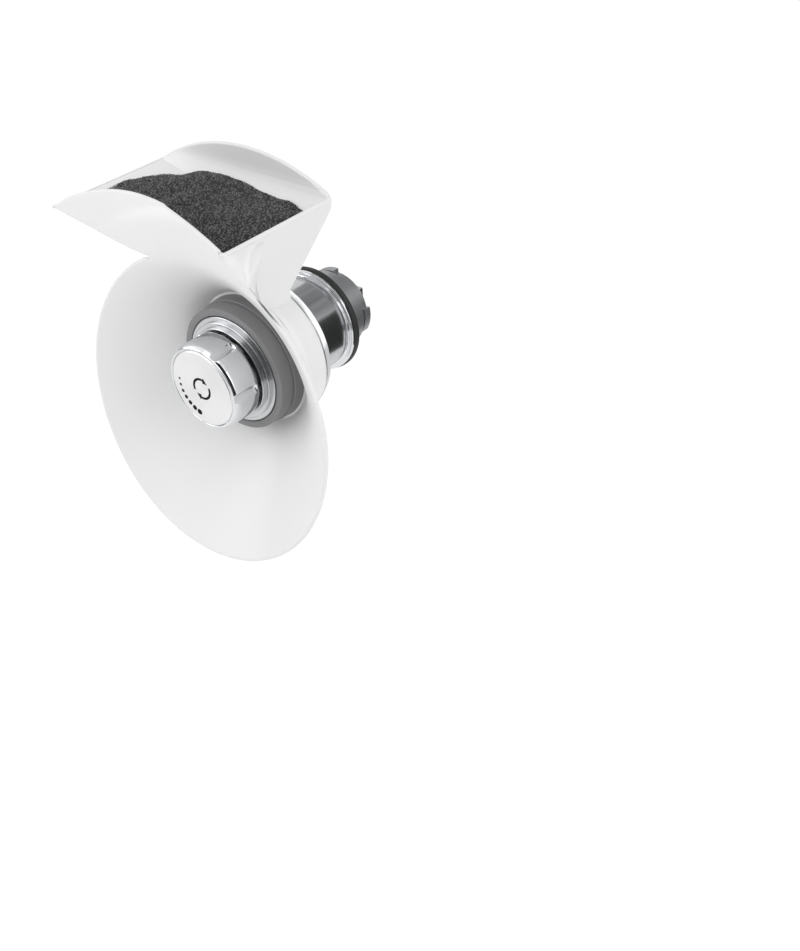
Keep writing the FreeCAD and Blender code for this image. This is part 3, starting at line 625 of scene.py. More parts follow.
def rim_point(turn):
    """A point of the dish's rim, seen along the axis."""
    return (dish_radius * math.cos(turn), -dish_drop + dish_radius * math.sin(turn) * math.cos(dish_tilt))


def face_depth(x, z):
    """Station of the moulding's face: the dish, running up into the hopper's upright front."""
    low, high = np.full_like(x, -0.1), np.full_like(x, 1.8)
    for _ in range(face_halvings):
        t = (low + high) / 2
        reach = np.hypot(x, (z + dish_drop * t) / np.cos(dish_tilt * t))
        outside = reach > dish_base_radius + (dish_radius - dish_base_radius) * t
        low, high = np.where(outside, t, low), np.where(outside, high, t)
    t = np.maximum(low, 0)
    dish = y_dish - dish_reach * ((1 + dish_curl) * t - dish_curl * t * t)
    dish = dish + (z + dish_drop * t) * np.tan(dish_tilt * t)
    front = hopper_front_y - front_relief - front_slant * np.maximum(front_foot_z - z, 0) ** 1.5
    overlap = np.maximum(face_blend - np.abs(dish - front), 0)
    return np.maximum(dish, front) + overlap ** 2 / (4 * face_blend)


curl_knots = ((19.0, 73.0), (24.6, 70.1), (28.9, 65.3), (33.4, 60.4))
curl_foot_turn = math.acos(41.5 / dish_radius)
curl_foot = (41.5, rim_point(curl_foot_turn)[1])


def smooth_line(knots, step):
    """A Catmull-Rom line through knots, sampled about every step."""
    knots = [Vector(k) for k in knots]
    knots = [2 * knots[0] - knots[1]] + knots + [2 * knots[-1] - knots[-2]]
    points = []
    for a, b, c, d in zip(knots, knots[1:], knots[2:], knots[3:]):
        count = max(2, round((c - b).length / step))
        for i in range(count):
            s = i / count
            points.append(0.5 * (2 * b + (c - a) * s + (2 * a - 5 * b + 4 * c - d) * s * s
                                 + (3 * b - a - 3 * c + d) * s ** 3))
    return points + [knots[-2]]


def step_up(value):
    """A soft step from 0 to 1."""
    value = min(max(value, 0.0), 1.0)
    return value * value * (3 - 2 * value)


# Outline of the face, clockwise from the tip: arch, curl, rim, notch and the floor's edge.
outline = [Vector((x, float(arch_height(x)))) for x in np.linspace(tip_x, corner_x, arch_steps)[:-1]]
curl = smooth_line(curl_knots + (curl_foot,), 1.5)
outline += curl[:-1]
notch_turn = math.pi - math.acos(-notch_x / dish_radius)
for turn in np.linspace(curl_foot_turn, notch_turn - 2 * math.pi, rim_steps):
    outline.append(Vector(rim_point(turn)))
notch = outline[-1]
tip = Vector((tip_x, tip_z))
while (outline[-1] - notch).length < notch_round:
    outline.pop()
notch_from, notch_to = outline[-1], notch + (tip - notch).normalized() * notch_round
for s in np.linspace(0, 1, 6)[1:-1]:
    outline.append(notch_from * (1 - s) ** 2 + notch * 2 * s * (1 - s) + notch_to * s * s)
for s in np.linspace(0, 1, 46)[:-1]:
    outline.append(notch_to.lerp(tip, s))


def corner_roll(z):
    """Radius by which the face rolls back into the right wall, falling to nothing at the rim."""
    return corner_round * step_up((z - corner_round_z) / corner_round_rise)


def skin_thickness(x, z):
    """Wall of the face: thinner at the tip and along the upper right of the rim."""
    at_tip = step_up((-88 - x) / 17)
    at_right = step_up((x - 10) / 20) * step_up((z - 2) / 40)
    return face_wall - face_wall_loss * at_tip - face_wall_loss * at_right


edge = []
count = len(outline)
for index, point in enumerate(outline):
    along = (outline[(index + 1) % count] - outline[index - 1]).normalized()
    inward = Vector((along.y, -along.x))
    beside = curl[0].x <= point.x < curl_right_x and point.y > curl_low_z
    rolled = min(1, corner_roll(point.y) / corner_round) if beside else 0
    edge.append(point + inward * 0.5 * skin_thickness(point.x, point.y) * (1 - rolled))
# The tip and the near corner are sharp, so they are placed one by one.
edge[0] = edge[0] + Vector((-0.6, 0))
edge[arch_steps - 1] = Vector((corner_x - 0.3, corner_z - 0.4))

roll_line = [Vector((corner_x, 95.0))]
roll_line += [p for p in edge if corner_x - 0.01 <= p.x < curl_right_x and p.y > curl_low_z - 1]
roll_a = np.array([tuple(p) for p in roll_line[:-1]])
roll_b = np.array([tuple(p) for p in roll_line[1:]])


def roll_back(x, z):
    """How far a point of the face rolls back near the curl."""
    p = np.stack([x, z], axis=1)[:, None]
    run = roll_b - roll_a
    s = np.clip(((p - roll_a) * run).sum(2) / (run * run).sum(1), 0, 1)
    gap = np.linalg.norm(p - roll_a - s[..., None] * run, axis=2).min(1)
    radius = np.array([corner_roll(height) for height in z]) + 1e-6
    left = np.clip(radius - gap, 0, radius)
    return radius - np.sqrt(np.maximum(radius ** 2 - left ** 2, 0))


# Points that fill the outline: rows beside its edge, rings round the hole and a grid between.
fill = []
for index, point in enumerate(edge):
    along = (edge[(index + 1) % len(edge)] - edge[index - 1]).normalized()
    inward = Vector((along.y, -along.x))
    for distance in edge_rows:
        if index % 2 == 0 or distance < 2:
            fill.append(point + inward * distance)
for ring_radius in hub_rings:
    fill += [Vector(p) for p in round_line(ring_radius, hole_steps)]
grid_start = len(fill)
for row, z in enumerate(np.arange(-100, 92, row_spacing)):
    for x in np.arange(-108, 90, spacing):
        fill.append(Vector((x + (row % 2) * spacing / 2, z)))

edge_array = np.array([tuple(p) for p in edge])
edge_next = np.roll(edge_array, -1, axis=0)


def edge_gap(points):
    """Signed distance inside the outline, by crossing count and nearest segment."""
    p = points[:, None]
    run = edge_next - edge_array
    s = np.clip(((p - edge_array) * run).sum(2) / (run * run).sum(1), 0, 1)
    gap = np.linalg.norm(p - edge_array - s[..., None] * run, axis=2).min(1)
    above = (edge_array[:, 1] > p[..., 1]) != (edge_next[:, 1] > p[..., 1])
    rise = np.where(run[:, 1] == 0, 1e-9, run[:, 1])
    cross = edge_array[:, 0] + (p[..., 1] - edge_array[:, 1]) / rise * run[:, 0] > p[..., 0]
    inside = ((above & cross).sum(1) % 2) == 1
    return np.where(inside, gap, -gap)


places = np.array([tuple(p) for p in fill])
gap = edge_gap(places)
radius = np.hypot(places[:, 0], places[:, 1])
is_grid = np.arange(len(fill)) >= grid_start
in_bands = (gap < edge_band) | (radius < hub_band)
keep = (gap > edge_clear) & (radius > hole_radius + hub_clear) & ~(is_grid & in_bands)
hole = [Vector(p) for p in round_line(hole_radius, hole_steps)]
flat = edge + hole + [Vector(p) for p in places[keep]]
bounds = [(i, (i + 1) % len(edge)) for i in range(len(edge))]
bounds += [(len(edge) + i, len(edge) + (i + 1) % hole_steps) for i in range(hole_steps)]
cut = delaunay_2d_cdt(flat, bounds, [], 0, 1e-5)
spots = np.array([tuple(p) for p in cut[0]])
tris = np.array([tuple(f) for f in cut[2]])
middles = spots[tris].mean(1)
inside = (edge_gap(middles) > 0) & (np.hypot(middles[:, 0], middles[:, 1]) > hole_radius * 0.999)
tris = tris[inside]
depth = face_depth(spots[:, 0], spots[:, 1]) + roll_back(spots[:, 0], spots[:, 1])

skin = bmesh.new()
front = [skin.verts.new((x, y, z)) for (x, z), y in zip(spots, depth)]
for a, b, c in tris:
    skin.faces.new((front[a], front[b], front[c]))
loose = [v for v in skin.verts if not v.link_faces]
bmesh.ops.delete(skin, geom=loose, context="VERTS")
skin.normal_update()
if sum(face.normal.y for face in skin.faces) > 0:
    bmesh.ops.reverse_faces(skin, faces=skin.faces)
    skin.normal_update()
verts = list(skin.verts)
rims = [e for e in skin.edges if e.is_boundary]
normals = {v: v.normal.copy() for v in verts}
behind = {v: skin.verts.new(v.co - normals[v] * skin_thickness(v.co.x, v.co.z)) for v in verts}
faces = list(skin.faces)
for face in faces:
    skin.faces.new([behind[v] for v in reversed(face.verts)])


def lip_round(v, outward):
    """Half-round lip from the face over to its back."""
    half = skin_thickness(v.co.x, v.co.z) / 2
    middle = v.co - normals[v] * half
    turns = [math.pi * i / round_steps for i in range(1, round_steps)]
    return [middle + (normals[v] * math.cos(a) + outward * math.sin(a)) * half for a in turns]


def lip_sweep(v):
    """Hollow sweep from the curl's edge back into the right wall, tucked under the rim's bead."""
    x, y, z = v.co
    reach = sweep_reach + sweep_reach_gain * step_up((z - 48) / 14)
    tuck = 1.3 * step_up((z - 69) / 2)
    knots = (Vector((x, y, z)), Vector((0.85 * x + 0.15 * corner_x, y + 0.25 * reach, z)),
             Vector((corner_x + 0.02, y + 0.6 * reach, z)), Vector((corner_x - 0.06, y + reach, z - tuck)))
    points = []
    for i in range(1, round_steps):
        s = i / (round_steps - 1)
        weights = ((1 - s) ** 3, 3 * s * (1 - s) ** 2, 3 * s * s * (1 - s), s ** 3)
        point = sum((k * w for k, w in zip(knots, weights)), Vector())
        behind_face = float(face_depth(np.array([point.x]), np.array([point.z]))[0]) + sweep_clear
        point.y = max(point.y, y + (behind_face - y) * min(1, 2 * s))
        points.append(point)
    return points


lips = {}
for e in rims:
    for v in e.verts:
        if v in lips:
            continue
        ends = [o.other_vert(v).co for o in v.link_edges if o.is_boundary]
        along = (ends[0] - ends[1]).normalized()
        outward = along.cross(normals[v]).normalized()
        inner = sum((f.calc_center_median() for f in v.link_faces if behind[v] not in f.verts), Vector())
        inner /= len(v.link_faces)
        if outward.dot(v.co - inner) < 0:
            outward = -outward
        chain = []
        if math.hypot(v.co.x, v.co.z) > hole_radius + 1:
            chain = lip_round(v, outward)
            if v.co.x > corner_x - 0.4 and v.co.z > sweep_low_z and v.co.y < y_dish:
                joined = step_up((v.co.z - sweep_low_z) / sweep_rise)
                chain = [a.lerp(b, joined) for a, b in zip(chain, lip_sweep(v))]
        lips[v] = [v] + [skin.verts.new(p) for p in chain] + [behind[v]]
for e in rims:
    a, b = (lips[v] for v in e.verts)
    for i in range(len(a) - 1):
        skin.faces.new((a[i], a[i + 1], b[i + 1], b[i]))
skin.normal_update()
bmesh.ops.recalc_face_normals(skin, faces=skin.faces)
bmesh.ops.scale(skin, vec=(MM, MM, MM), verts=skin.verts)


def floor_line(neck, lift):
    """Underside or top of the hopper's floor: flat slope, then a bend down into the neck."""
    level = tip_z + lift
    foot = Vector((neck, floor_bend_z))
    knee = Vector((neck, level - floor_slope * (neck - tip_x)))
    start = Vector((floor_bend_x, level - floor_slope * (floor_bend_x - tip_x)))
    return [foot * (1 - s) ** 2 + knee * 2 * s * (1 - s) + start * s * s for s in np.linspace(0, 1, 17)]


left_x, inner_left_x = -103.3, -106
tray_front_y = -79.7
tray_foot_z, inner_foot_z = 19, 12
pilot_end_y = -39.2
past_front_y, past_top_z = -85, 99
face_gap = 0.35
inner_rear_y = -2.6
inner_slope = [(inner_rear_y, 72.1, 7), (-41.2, 39.15, 4)]
tops = [(x, float(arch_height(x)) - rim_round) for x in np.linspace(left_x, corner_x, 72)]
side = tops + [(corner_x, tray_foot_z), (neck_left_x, tray_foot_z)] + floor_line(neck_left_x, 0)
side += [(left_x, tip_z - floor_slope * (left_x - tip_x))]
tray = block("tray", side, "y", tray_front_y, 5)
end_line = [(past_front_y, 0), (past_front_y, past_top_z), (hopper_rear_y, past_top_z)]
end_line += [(hopper_rear_y, slope_top_z, 7), (slope_foot_y, slope_foot_z), (slope_foot_y, 0)]
carve(tray, block("end", eased(end_line, 0.1), "x", -120, 40), "INTERSECT")
plan = [(-110, tray_front_y), (corner_x, tray_front_y, 5)]
plan += [(corner_x, hopper_rear_y, 5), (-110, hopper_rear_y)]
carve(tray, block("plan", eased(plan, 0.1, 8), "z", -10, 120), "INTERSECT")
inner = [(inner_left_x, 120), (corner_x - wall, 120)]
inner += [(corner_x - wall, inner_foot_z), (neck_left_x + wall, inner_foot_z)]
inner += floor_line(neck_left_x + wall, wall)
inner += [(inner_left_x, tip_z + wall - floor_slope * (inner_left_x - tip_x))]
hollow = block("hollow", inner, "y", -90, 5)
end_line = [(-95, 0), (-95, 125), (inner_rear_y, 125)] + inner_slope + [(inner_slope[-1][0], 0)]
carve(hollow, block("end", eased(end_line, 0.1), "x", -120, 40), "INTERSECT")
plan = [(-110, -95), (corner_x - wall, -95), (corner_x - wall, inner_rear_y, 2.6), (-110, inner_rear_y)]
carve(hollow, block("plan", eased(plan, 0.1, 6), "z", -10, 130), "INTERSECT")
carve(tray, hollow, "DIFFERENCE")
carve(tray, block("pilot", round_line(pilot_bore, 96), "y", pilot_end_y, -30), "DIFFERENCE")

# In front, the tray stops just under the face, so the face alone is seen.
grid_x = np.concatenate([np.arange(-112, 12, 3.0), np.arange(12, 24, 1.0)])
grid_z = np.arange(-4, 98, 2.0)
mesh_x, mesh_z = np.meshgrid(grid_x, grid_z, indexing="ij")
face_y = face_depth(mesh_x.ravel(), mesh_z.ravel()) + face_gap
shape = bmesh.new()
near = [shape.verts.new(Vector(p) * MM) for p in zip(mesh_x.ravel(), face_y, mesh_z.ravel())]
far = [shape.verts.new(Vector((v.co.x, -0.13, v.co.z))) for v in near]
rows, columns = len(grid_x), len(grid_z)
for i in range(rows - 1):
    for j in range(columns - 1):
        a, b, c, d = i * columns + j, (i + 1) * columns + j, (i + 1) * columns + j + 1, i * columns + j + 1
        shape.faces.new((near[a], near[b], near[c], near[d]))
        shape.faces.new((far[d], far[c], far[b], far[a]))
fringe = [i * columns for i in range(rows)] + [(rows - 1) * columns + j for j in range(1, columns)]
fringe += [i * columns + columns - 1 for i in range(rows - 2, -1, -1)]
fringe += list(range(columns - 2, 0, -1))
for a, b in zip(fringe, fringe[1:] + fringe[:1]):
    shape.faces.new((near[a], near[b], far[b], far[a]))
bmesh.ops.recalc_face_normals(shape, faces=shape.faces)
carve(tray, placed("before_face", meshed("before_face", shape)), "DIFFERENCE")

barrel_line = [
    (pilot_bore, y_barrel), (38, y_barrel), (38, -46.0), (38.1, -48.2), (38.7, -50.2), (39.8, -52.2),
    (41.4, -54.4), (41.2, -55.2), (38.4, -52.6), (35.8, -50.9), (nose_radius, -50.9),
    (nose_radius, y_nose), (nose_bore, y_nose), (nose_bore, y_dish), (chamber_radius, y_dish),
    (chamber_radius, y_barrel - 0.1), (20.4, y_barrel - 0.1), (20.4, -48.6), (pilot_bore, -48.6),
]
barrel = turned("barrel", eased(barrel_line, 0.3, 3), 144)
throat = [(-12, -48.6), (16.6, -48.6), (16.6, -41.2), (-12, -41.2)]
carve(barrel, block("throat", throat, "z", 9, 60), "DIFFERENCE")


def bead(name, path, radius):
    """A round edge: a rod of one radius run along a line of points."""
    sides = 14
    path = [Vector(p) for p in path]
    shape = bmesh.new()
    rings = []
    for i, point in enumerate(path):
        along = (path[min(i + 1, len(path) - 1)] - path[max(i - 1, 0)]).normalized()
        across = along.cross(Vector((0, 0, 1))).normalized()
        over = across.cross(along)
        ring = []
        for k in range(sides):
            a = 2 * math.pi * k / sides
            ring.append(shape.verts.new((point + (across * math.cos(a) + over * math.sin(a)) * radius) * MM))
        rings.append(ring)
    for low, high in zip(rings, rings[1:]):
        for k in range(sides):
            shape.faces.new((low[k], low[(k + 1) % sides], high[(k + 1) % sides], high[k]))
    shape.faces.new(rings[0])
    shape.faces.new(rings[-1])
    bmesh.ops.recalc_face_normals(shape, faces=shape.faces)
    return meshed(name, shape)


def rim_height(x):
    """Height of the middle of the rim's round edge."""
    return float(arch_height(x)) - rim_round


def rim_turn(centre_y, radius, turns):
    """The rim's middle line round a corner of the hopper."""
    points = []
    for a in np.radians(turns):
        x = rim_right_x - radius + radius * math.cos(a)
        points.append((x, centre_y + radius * math.sin(a), rim_height(x)))
    return points


# The rim runs round the near corner, along the right wall and round along the rear wall.
rim_right_x, rim_rear_y = 17.8, -1.4
near_y, near_round = -76.0, 3.45
far_y, far_round = -5.2, 3.8
rim_path = rim_turn(near_y, near_round, np.linspace(-55, 0, 8))
rim_path += [(rim_right_x, y, rim_height(rim_right_x)) for y in np.linspace(near_y + 1, far_y, 12)]
rim_path += rim_turn(far_y, far_round, np.linspace(10, 90, 9))
rim_path += [(x, rim_rear_y, rim_height(x)) for x in np.linspace(12, left_x + 0.1, 70)]
rim_mesh = bead("hopper_rim", rim_path, rim_round)
lip_x, lip_z, lip_radius = -103.6, 68.35, 0.7
lip_mesh = bead("pour_lip", [(lip_x, y, lip_z) for y in np.linspace(-79.2, -1.2, 8)], lip_radius)

moulding = bmesh.new()
for part_mesh in (meshed("dish_skin", skin), tray.data, barrel.data, rim_mesh, lip_mesh):
    moulding.from_mesh(part_mesh)
for gone in (tray, barrel):
    bpy.data.objects.remove(gone)
mill_moulding = placed("mill_moulding", meshed("mill_moulding", moulding))
crisp(mill_moulding.data, 38)

white_plastic = finish("white_plastic", grain, {
    "Scale": 1500, "Tone": (0.84, 0.84, 0.84, 1), "Depth": 0.03, "Roughness": 0.32, "Spread": 0.06,
}, bump=0.08)
fit(mill_moulding, "mill_body", "housing", white_plastic)

# ---------------------------------------------------------------- grey rings
# Seat ring and ring nut in satin grey plastic; the nut clamps the outer burr on the nose.
# A fine bright line shows where the two meet.
grey_plastic = finish("grey_plastic", grain, {
    "Scale": 1800, "Tone": (0.225, 0.225, 0.23, 1), "Depth": 0.12, "Roughness": 0.36, "Spread": 0.12,
}, bump=0.25)
y_nut_rear = -57.5
y_nut_front = -66.2
seat_line = [
    (31.6, y_dish), (34.8, y_dish), (34.3, y_nut_rear + 0.7), (34.45, y_nut_rear + 0.4),
    (34.3, y_nut_rear + 0.1), (33.9, y_nut_rear), (31.6, y_nut_rear),
]
fit(turned("seat_ring_grey", eased(seat_line, 0.15)), "seat_ring", "housing", grey_plastic)
nut_line = [
    (31.6, y_nut_rear - 0.1), (33.3, y_nut_rear - 0.1), (33.6, y_nut_rear - 0.5),
    (33.3, y_nut_front), (29.4, y_nut_front), (29.4, -64.9), (31.6, -64.9),
]
fit(turned("ring_nut_grey", eased(nut_line, 0.55)), "ring_nut", "ring_nut", grey_plastic)
natural_plastic = finish("natural_plastic", grain, {
    "Scale": 1200, "Tone": (0.68, 0.67, 0.60, 1), "Depth": 0.2, "Roughness": 0.45, "Spread": 0.1,
}, bump=0.2)
wear(natural_plastic, "clamp_ring", "knob_washer")


# ---------------------------------------------------------------- grinding set
# Outer burr and rotating cone in ground steel. The cone's front is turned in polished steps,
# and its flanks carry slanting teeth that pass the outer burr's at a hair's gap.
def spin_round(material):
    """Let the highlight run round the mill's axis, as on a face turned or spun on it."""
    tree = material.node_tree
    lay = tree.nodes.new("ShaderNodeTangent")
    lay.direction_type = "RADIAL"
    lay.axis = "Y"
    tree.links.new(lay.outputs["Tangent"], tree.nodes["Principled BSDF"].inputs["Tangent"])
    return material


burr_steel = spin_round(finish("burr_steel", turned_marks, {
    "Scale": 1800, "Tone": (0.60, 0.61, 0.62, 1), "Depth": 0.25, "Roughness": 0.24, "Spread": 0.15,
}, metallic=1.0, bump=0.1, Anisotropic=0.6, Anisotropic_Rotation=0.25))
wear(burr_steel, "outer_burr", "inner_burr")

# ---------------------------------------------------------------- knob
# Chrome-plated cup with a rounded lip and six finger grooves, over a dark ribbed core.
# A spun aluminium disc fills its front and carries seven printed dots for the fineness.
y_knob_rear = -72.1
y_knob_front = -88.3
knob_radius = 23.4
disc_radius = 20.5
grip_width = 5.0
grip_depth = 1.25
grip_lip = 0.7
grip_rear = 1.6
grip_first = math.radians(3.0)
grip_spacing = math.radians(60)
shoulder_in, shoulder_back = 2.2, 3.6
mouth_round = 0.3
lip_round_radius = 0.55
cup_wall = 2.7
cup_floor = 2.7
disc_seat = 1.1
hub_bore = 8.0
knob_steps = 600


def groove(turn, along):
    """Depth of the nearest finger groove: a round channel, open in front and closed at the rear."""
    off = (turn - grip_first + grip_spacing / 2) % grip_spacing - grip_spacing / 2
    across = off * knob_radius / (grip_width / 2)
    rear = max(0.0, (along - y_knob_rear + grip_lip + grip_rear) / grip_rear)
    return grip_depth * max(0.0, 1 - across * across - rear * rear) ** 0.6


# The cup's outline, with rows close together where the grooves end.
crest = knob_radius - shoulder_in
cup_line = [(knob_radius - mouth_round + mouth_round * math.sin(a),
             y_knob_rear - mouth_round + mouth_round * math.cos(a))
            for a in np.radians(np.linspace(0, 90, 5))]
cup_line += [(knob_radius, y) for y in np.linspace(y_knob_rear - 0.5, y_knob_rear - 1.6, 8)]
cup_line += [(knob_radius, y) for y in np.linspace(y_knob_rear - 2.2, y_knob_front + shoulder_back, 14)]
cup_line += [(crest + shoulder_in * math.cos(a), y_knob_front + shoulder_back * (1 - math.sin(a)))
             for a in np.radians(np.linspace(6, 90, 15))]
cup_line += [(crest + lip_round_radius * math.cos(a), y_knob_front + lip_round_radius * (1 - math.sin(a)))
             for a in np.radians(np.linspace(110, 180, 5))]
places = []
for i in range(knob_steps):
    turn = 2 * math.pi * i / knob_steps
    line = [(knob_radius - cup_wall, y_knob_rear)]
    line += [(min(radius, knob_radius - groove(turn, along)), along) for radius, along in cup_line]
    line += [(disc_radius + 0.1, y_knob_front + disc_seat), (hub_bore, y_knob_front + disc_seat)]
    line += [(hub_bore, y_knob_front + cup_floor), (knob_radius - cup_wall, y_knob_front + cup_floor)]
    for radius, along in line:
        places.append((radius * math.cos(turn) * MM, along * MM, radius * math.sin(turn) * MM))
cup_mesh = bpy.data.meshes.new("knob_cup")
cup_mesh.from_pydata(places, [], ring_faces(knob_steps, len(line)))
knob_cup = settled("knob_cup", cup_mesh, 30)
fit(knob_cup, "knob_shell", "knob", chrome)

spun_aluminium = spin_round(finish("spun_aluminium", turned_marks, {
    "Scale": 2600, "Tone": (0.88, 0.88, 0.88, 1), "Depth": 0.08, "Roughness": 0.30, "Spread": 0.08,
}, metallic=1.0, bump=0.04, Anisotropic=0.85, Anisotropic_Rotation=0.25))
disc_edge, disc_thickness = 0.4, 0.9
disc_rings = 14
disc_line = [(disc_radius - disc_edge - (disc_radius - 1) * i / disc_rings, y_knob_front)
             for i in reversed(range(disc_rings))]
disc_line = [(0.0, y_knob_front)] + disc_line + [
    (disc_radius, y_knob_front + disc_edge), (disc_radius, y_knob_front + disc_thickness),
    (0.0, y_knob_front + disc_thickness),
]
disc = turned("knob_face", [Vector(p) for p in disc_line])
fit(disc, "knob_disc", "knob", spun_aluminium)

core_plastic = finish("core_plastic", grain, {
    "Scale": 1500, "Tone": (0.02, 0.02, 0.021, 1), "Depth": 0.3, "Roughness": 0.42, "Spread": 0.1,
}, bump=0.2)
brass = finish("brass", turned_marks, {
    "Scale": 2000, "Tone": (0.62, 0.42, 0.16, 1), "Depth": 0.2, "Roughness": 0.22, "Spread": 0.1,
}, metallic=1.0, bump=0.2)
wear(core_plastic, "knob_core")
wear(brass, "knob_insert")

# Printed marks on the disc: seven dots that grow with the grind, and a plain turning arrow.
dial_ink = finish("dial_ink", grain, {
    "Scale": 1500, "Tone": (0.006, 0.006, 0.006, 1), "Depth": 0.3, "Roughness": 0.7, "Spread": 0.1,
}, bump=0.1, Specular_IOR_Level=0.2)
mark_height = 0.03


def new_tree(name, sizes):
    """An empty geometry tree with named inputs, and the sockets at its two ends."""
    tree = bpy.data.node_groups.new(name, "GeometryNodeTree")
    for socket, kind in sizes:
        tree.interface.new_socket(socket, in_out="INPUT", socket_type="NodeSocket" + kind)
    tree.interface.new_socket("Geometry", in_out="OUTPUT", socket_type="NodeSocketGeometry")
    given = tree.nodes.new("NodeGroupInput").outputs
    result = tree.nodes.new("NodeGroupOutput").inputs
    return tree, given, result


dots_tree, given, result = new_tree("growing_dots", (
    ("Count", "Int"), ("Circle", "Float"), ("First", "Float"), ("Step", "Float"), ("Smallest", "Float"),
    ("Growth", "Float"), ("Height", "Float"), ("Station", "Float"), ("Material", "Material"),
))
made = dots_tree.nodes
link = dots_tree.links.new
dot_index = made.new("GeometryNodeInputIndex").outputs["Index"]
dot_turn = sum_of(dots_tree, "MULTIPLY_ADD", dot_index, given["Step"], given["First"])
dot_x = sum_of(dots_tree, "MULTIPLY", sum_of(dots_tree, "COSINE", dot_turn), given["Circle"])
dot_z = sum_of(dots_tree, "MULTIPLY", sum_of(dots_tree, "SINE", dot_turn), given["Circle"])
dot_place = made.new("ShaderNodeCombineXYZ")
link(dot_x, dot_place.inputs["X"])
link(given["Station"], dot_place.inputs["Y"])
link(dot_z, dot_place.inputs["Z"])
dot_points = made.new("GeometryNodePoints")
link(given["Count"], dot_points.inputs["Count"])
link(dot_place.outputs["Vector"], dot_points.inputs["Position"])
dot_width = sum_of(dots_tree, "MULTIPLY_ADD", dot_index, given["Growth"], given["Smallest"])
dot_scale = made.new("ShaderNodeCombineXYZ")
link(dot_width, dot_scale.inputs["X"])
link(dot_width, dot_scale.inputs["Y"])
link(given["Height"], dot_scale.inputs["Z"])
dot_shape = made.new("GeometryNodeMeshCylinder")
dot_shape.inputs["Vertices"].default_value = 36
dot_shape.inputs["Radius"].default_value = 0.5
dot_shape.inputs["Depth"].default_value = 1.0
dot_copies = made.new("GeometryNodeInstanceOnPoints")
dot_copies.inputs["Rotation"].default_value = (math.pi / 2, 0, 0)
link(dot_points.outputs[0], dot_copies.inputs["Points"])
link(dot_shape.outputs["Mesh"], dot_copies.inputs["Instance"])
link(dot_scale.outputs["Vector"], dot_copies.inputs["Scale"])
dot_solid = made.new("GeometryNodeRealizeInstances")
dot_ink = made.new("GeometryNodeSetMaterial")
link(dot_copies.outputs["Instances"], dot_solid.inputs["Geometry"])
link(dot_solid.outputs["Geometry"], dot_ink.inputs["Geometry"])
link(given["Material"], dot_ink.inputs["Material"])
link(dot_ink.outputs["Geometry"], result["Geometry"])


def grown(name, tree, values, base=None):
    """Run a geometry tree once and keep its result as a plain mesh."""
    maker = placed(name + "_maker", base or bpy.data.meshes.new(name + "_maker"))
    modifier = maker.modifiers.new("maker", "NODES")
    modifier.node_group = tree
    for item in tree.interface.items_tree:
        if item.in_out == "INPUT" and item.name in values:
            modifier[item.identifier] = values[item.name]
    graph = bpy.context.evaluated_depsgraph_get()
    mesh = bpy.data.meshes.new_from_object(maker.evaluated_get(graph))
    bpy.data.objects.remove(maker)
    mesh.name = name
    return mesh


dots_mesh = grown("dots", dots_tree, {
    "Count": 7, "Circle": 15.7 * MM, "First": math.radians(176.5), "Step": math.radians(12.9),
    "Smallest": 1.3 * MM, "Growth": 0.32 * MM, "Height": mark_height * MM,
    "Station": (y_knob_front - mark_height / 2) * MM, "Material": dial_ink,
})
marks = bmesh.new()
marks.from_mesh(dots_mesh)
arrow_radius = 5.4
arrow_line = 1.35
arrow_head = 3.4
arrow_steps = 28


def on_dial(radius, turn):
    """A point of the disc's face, as (x, z)."""
    return (radius * math.cos(turn), radius * math.sin(turn))


for start, end in ((200, 75), (20, -105)):
    start, end = math.radians(start), math.radians(end)
    head_turn = end - arrow_head * 0.95 / arrow_radius
    shape = [on_dial(arrow_radius + arrow_line / 2, a) for a in np.linspace(start, end, arrow_steps)]
    shape += [on_dial(arrow_radius + arrow_head / 2, end), on_dial(arrow_radius * 0.98, head_turn),
              on_dial(arrow_radius - arrow_head / 2, end)]
    shape += [on_dial(arrow_radius - arrow_line / 2, a) for a in np.linspace(end, start, arrow_steps)]
    rows = []
    for station in (y_knob_front, y_knob_front - mark_height):
        rows.append([marks.verts.new(Vector((x, station, z)) * MM) for x, z in shape])
    for row in rows:
        marks.faces.new(row)
    for i in range(len(shape)):
        j = (i + 1) % len(shape)
        marks.faces.new((rows[0][i], rows[0][j], rows[1][j], rows[1][i]))
bmesh.ops.recalc_face_normals(marks, faces=marks.faces)
marks_mesh = meshed("dial_marks", marks)
marks_mesh.materials.clear()
marks_mesh.materials.append(dial_ink)
for face in marks_mesh.polygons:
    face.material_index = 0
dial_marks = placed("dial_marks", marks_mesh)
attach(dial_marks, "knob")

# ---------------------------------------------------------------- poppy seed
# Loose poppy seed fills the hopper nearly level. It is what the mill grinds, lies in the housing
# and goes where the housing goes. A lumpy bed carries a layer of single seeds, each about a
# millimetre long.
heap_x = np.arange(-96.0, 17.9, 1.0)
heap_steps = 76
level_x = (-96, -89, -80, -66, -42, -25, 0, 10, 18)
level_z = (69.6, 70.2, 70.8, 71.8, 71.9, 69.9, 68.2, 67.0, 66.4)
rear_wall_z = (64, 66, 67.5, 68.7, 70, 71, 72.7)
rear_wall_y = (-12.1, -9.75, -7.95, -6.68, -5.6, -4.85, -3.93)
heap_gap_front, heap_gap_rear, heap_gap_floor = 2.9, 0.9, 1.6
heap_sink, heap_crown = 1.0, 4.0
slump_x, slump_run, slump_depth = -66, 14, 2.0
lump_count = 260
heap_level = np.interp(heap_x, level_x, level_z)
heap_front = face_depth(heap_x, heap_level) + heap_gap_front
heap_rear = np.interp(heap_level - heap_sink, rear_wall_z, rear_wall_y) - heap_gap_rear
heap_share = np.linspace(0, 1, heap_steps)
bed_x = np.repeat(heap_x[:, None], heap_steps, axis=1)
bed_y = heap_front[:, None] + (heap_rear - heap_front)[:, None] * heap_share
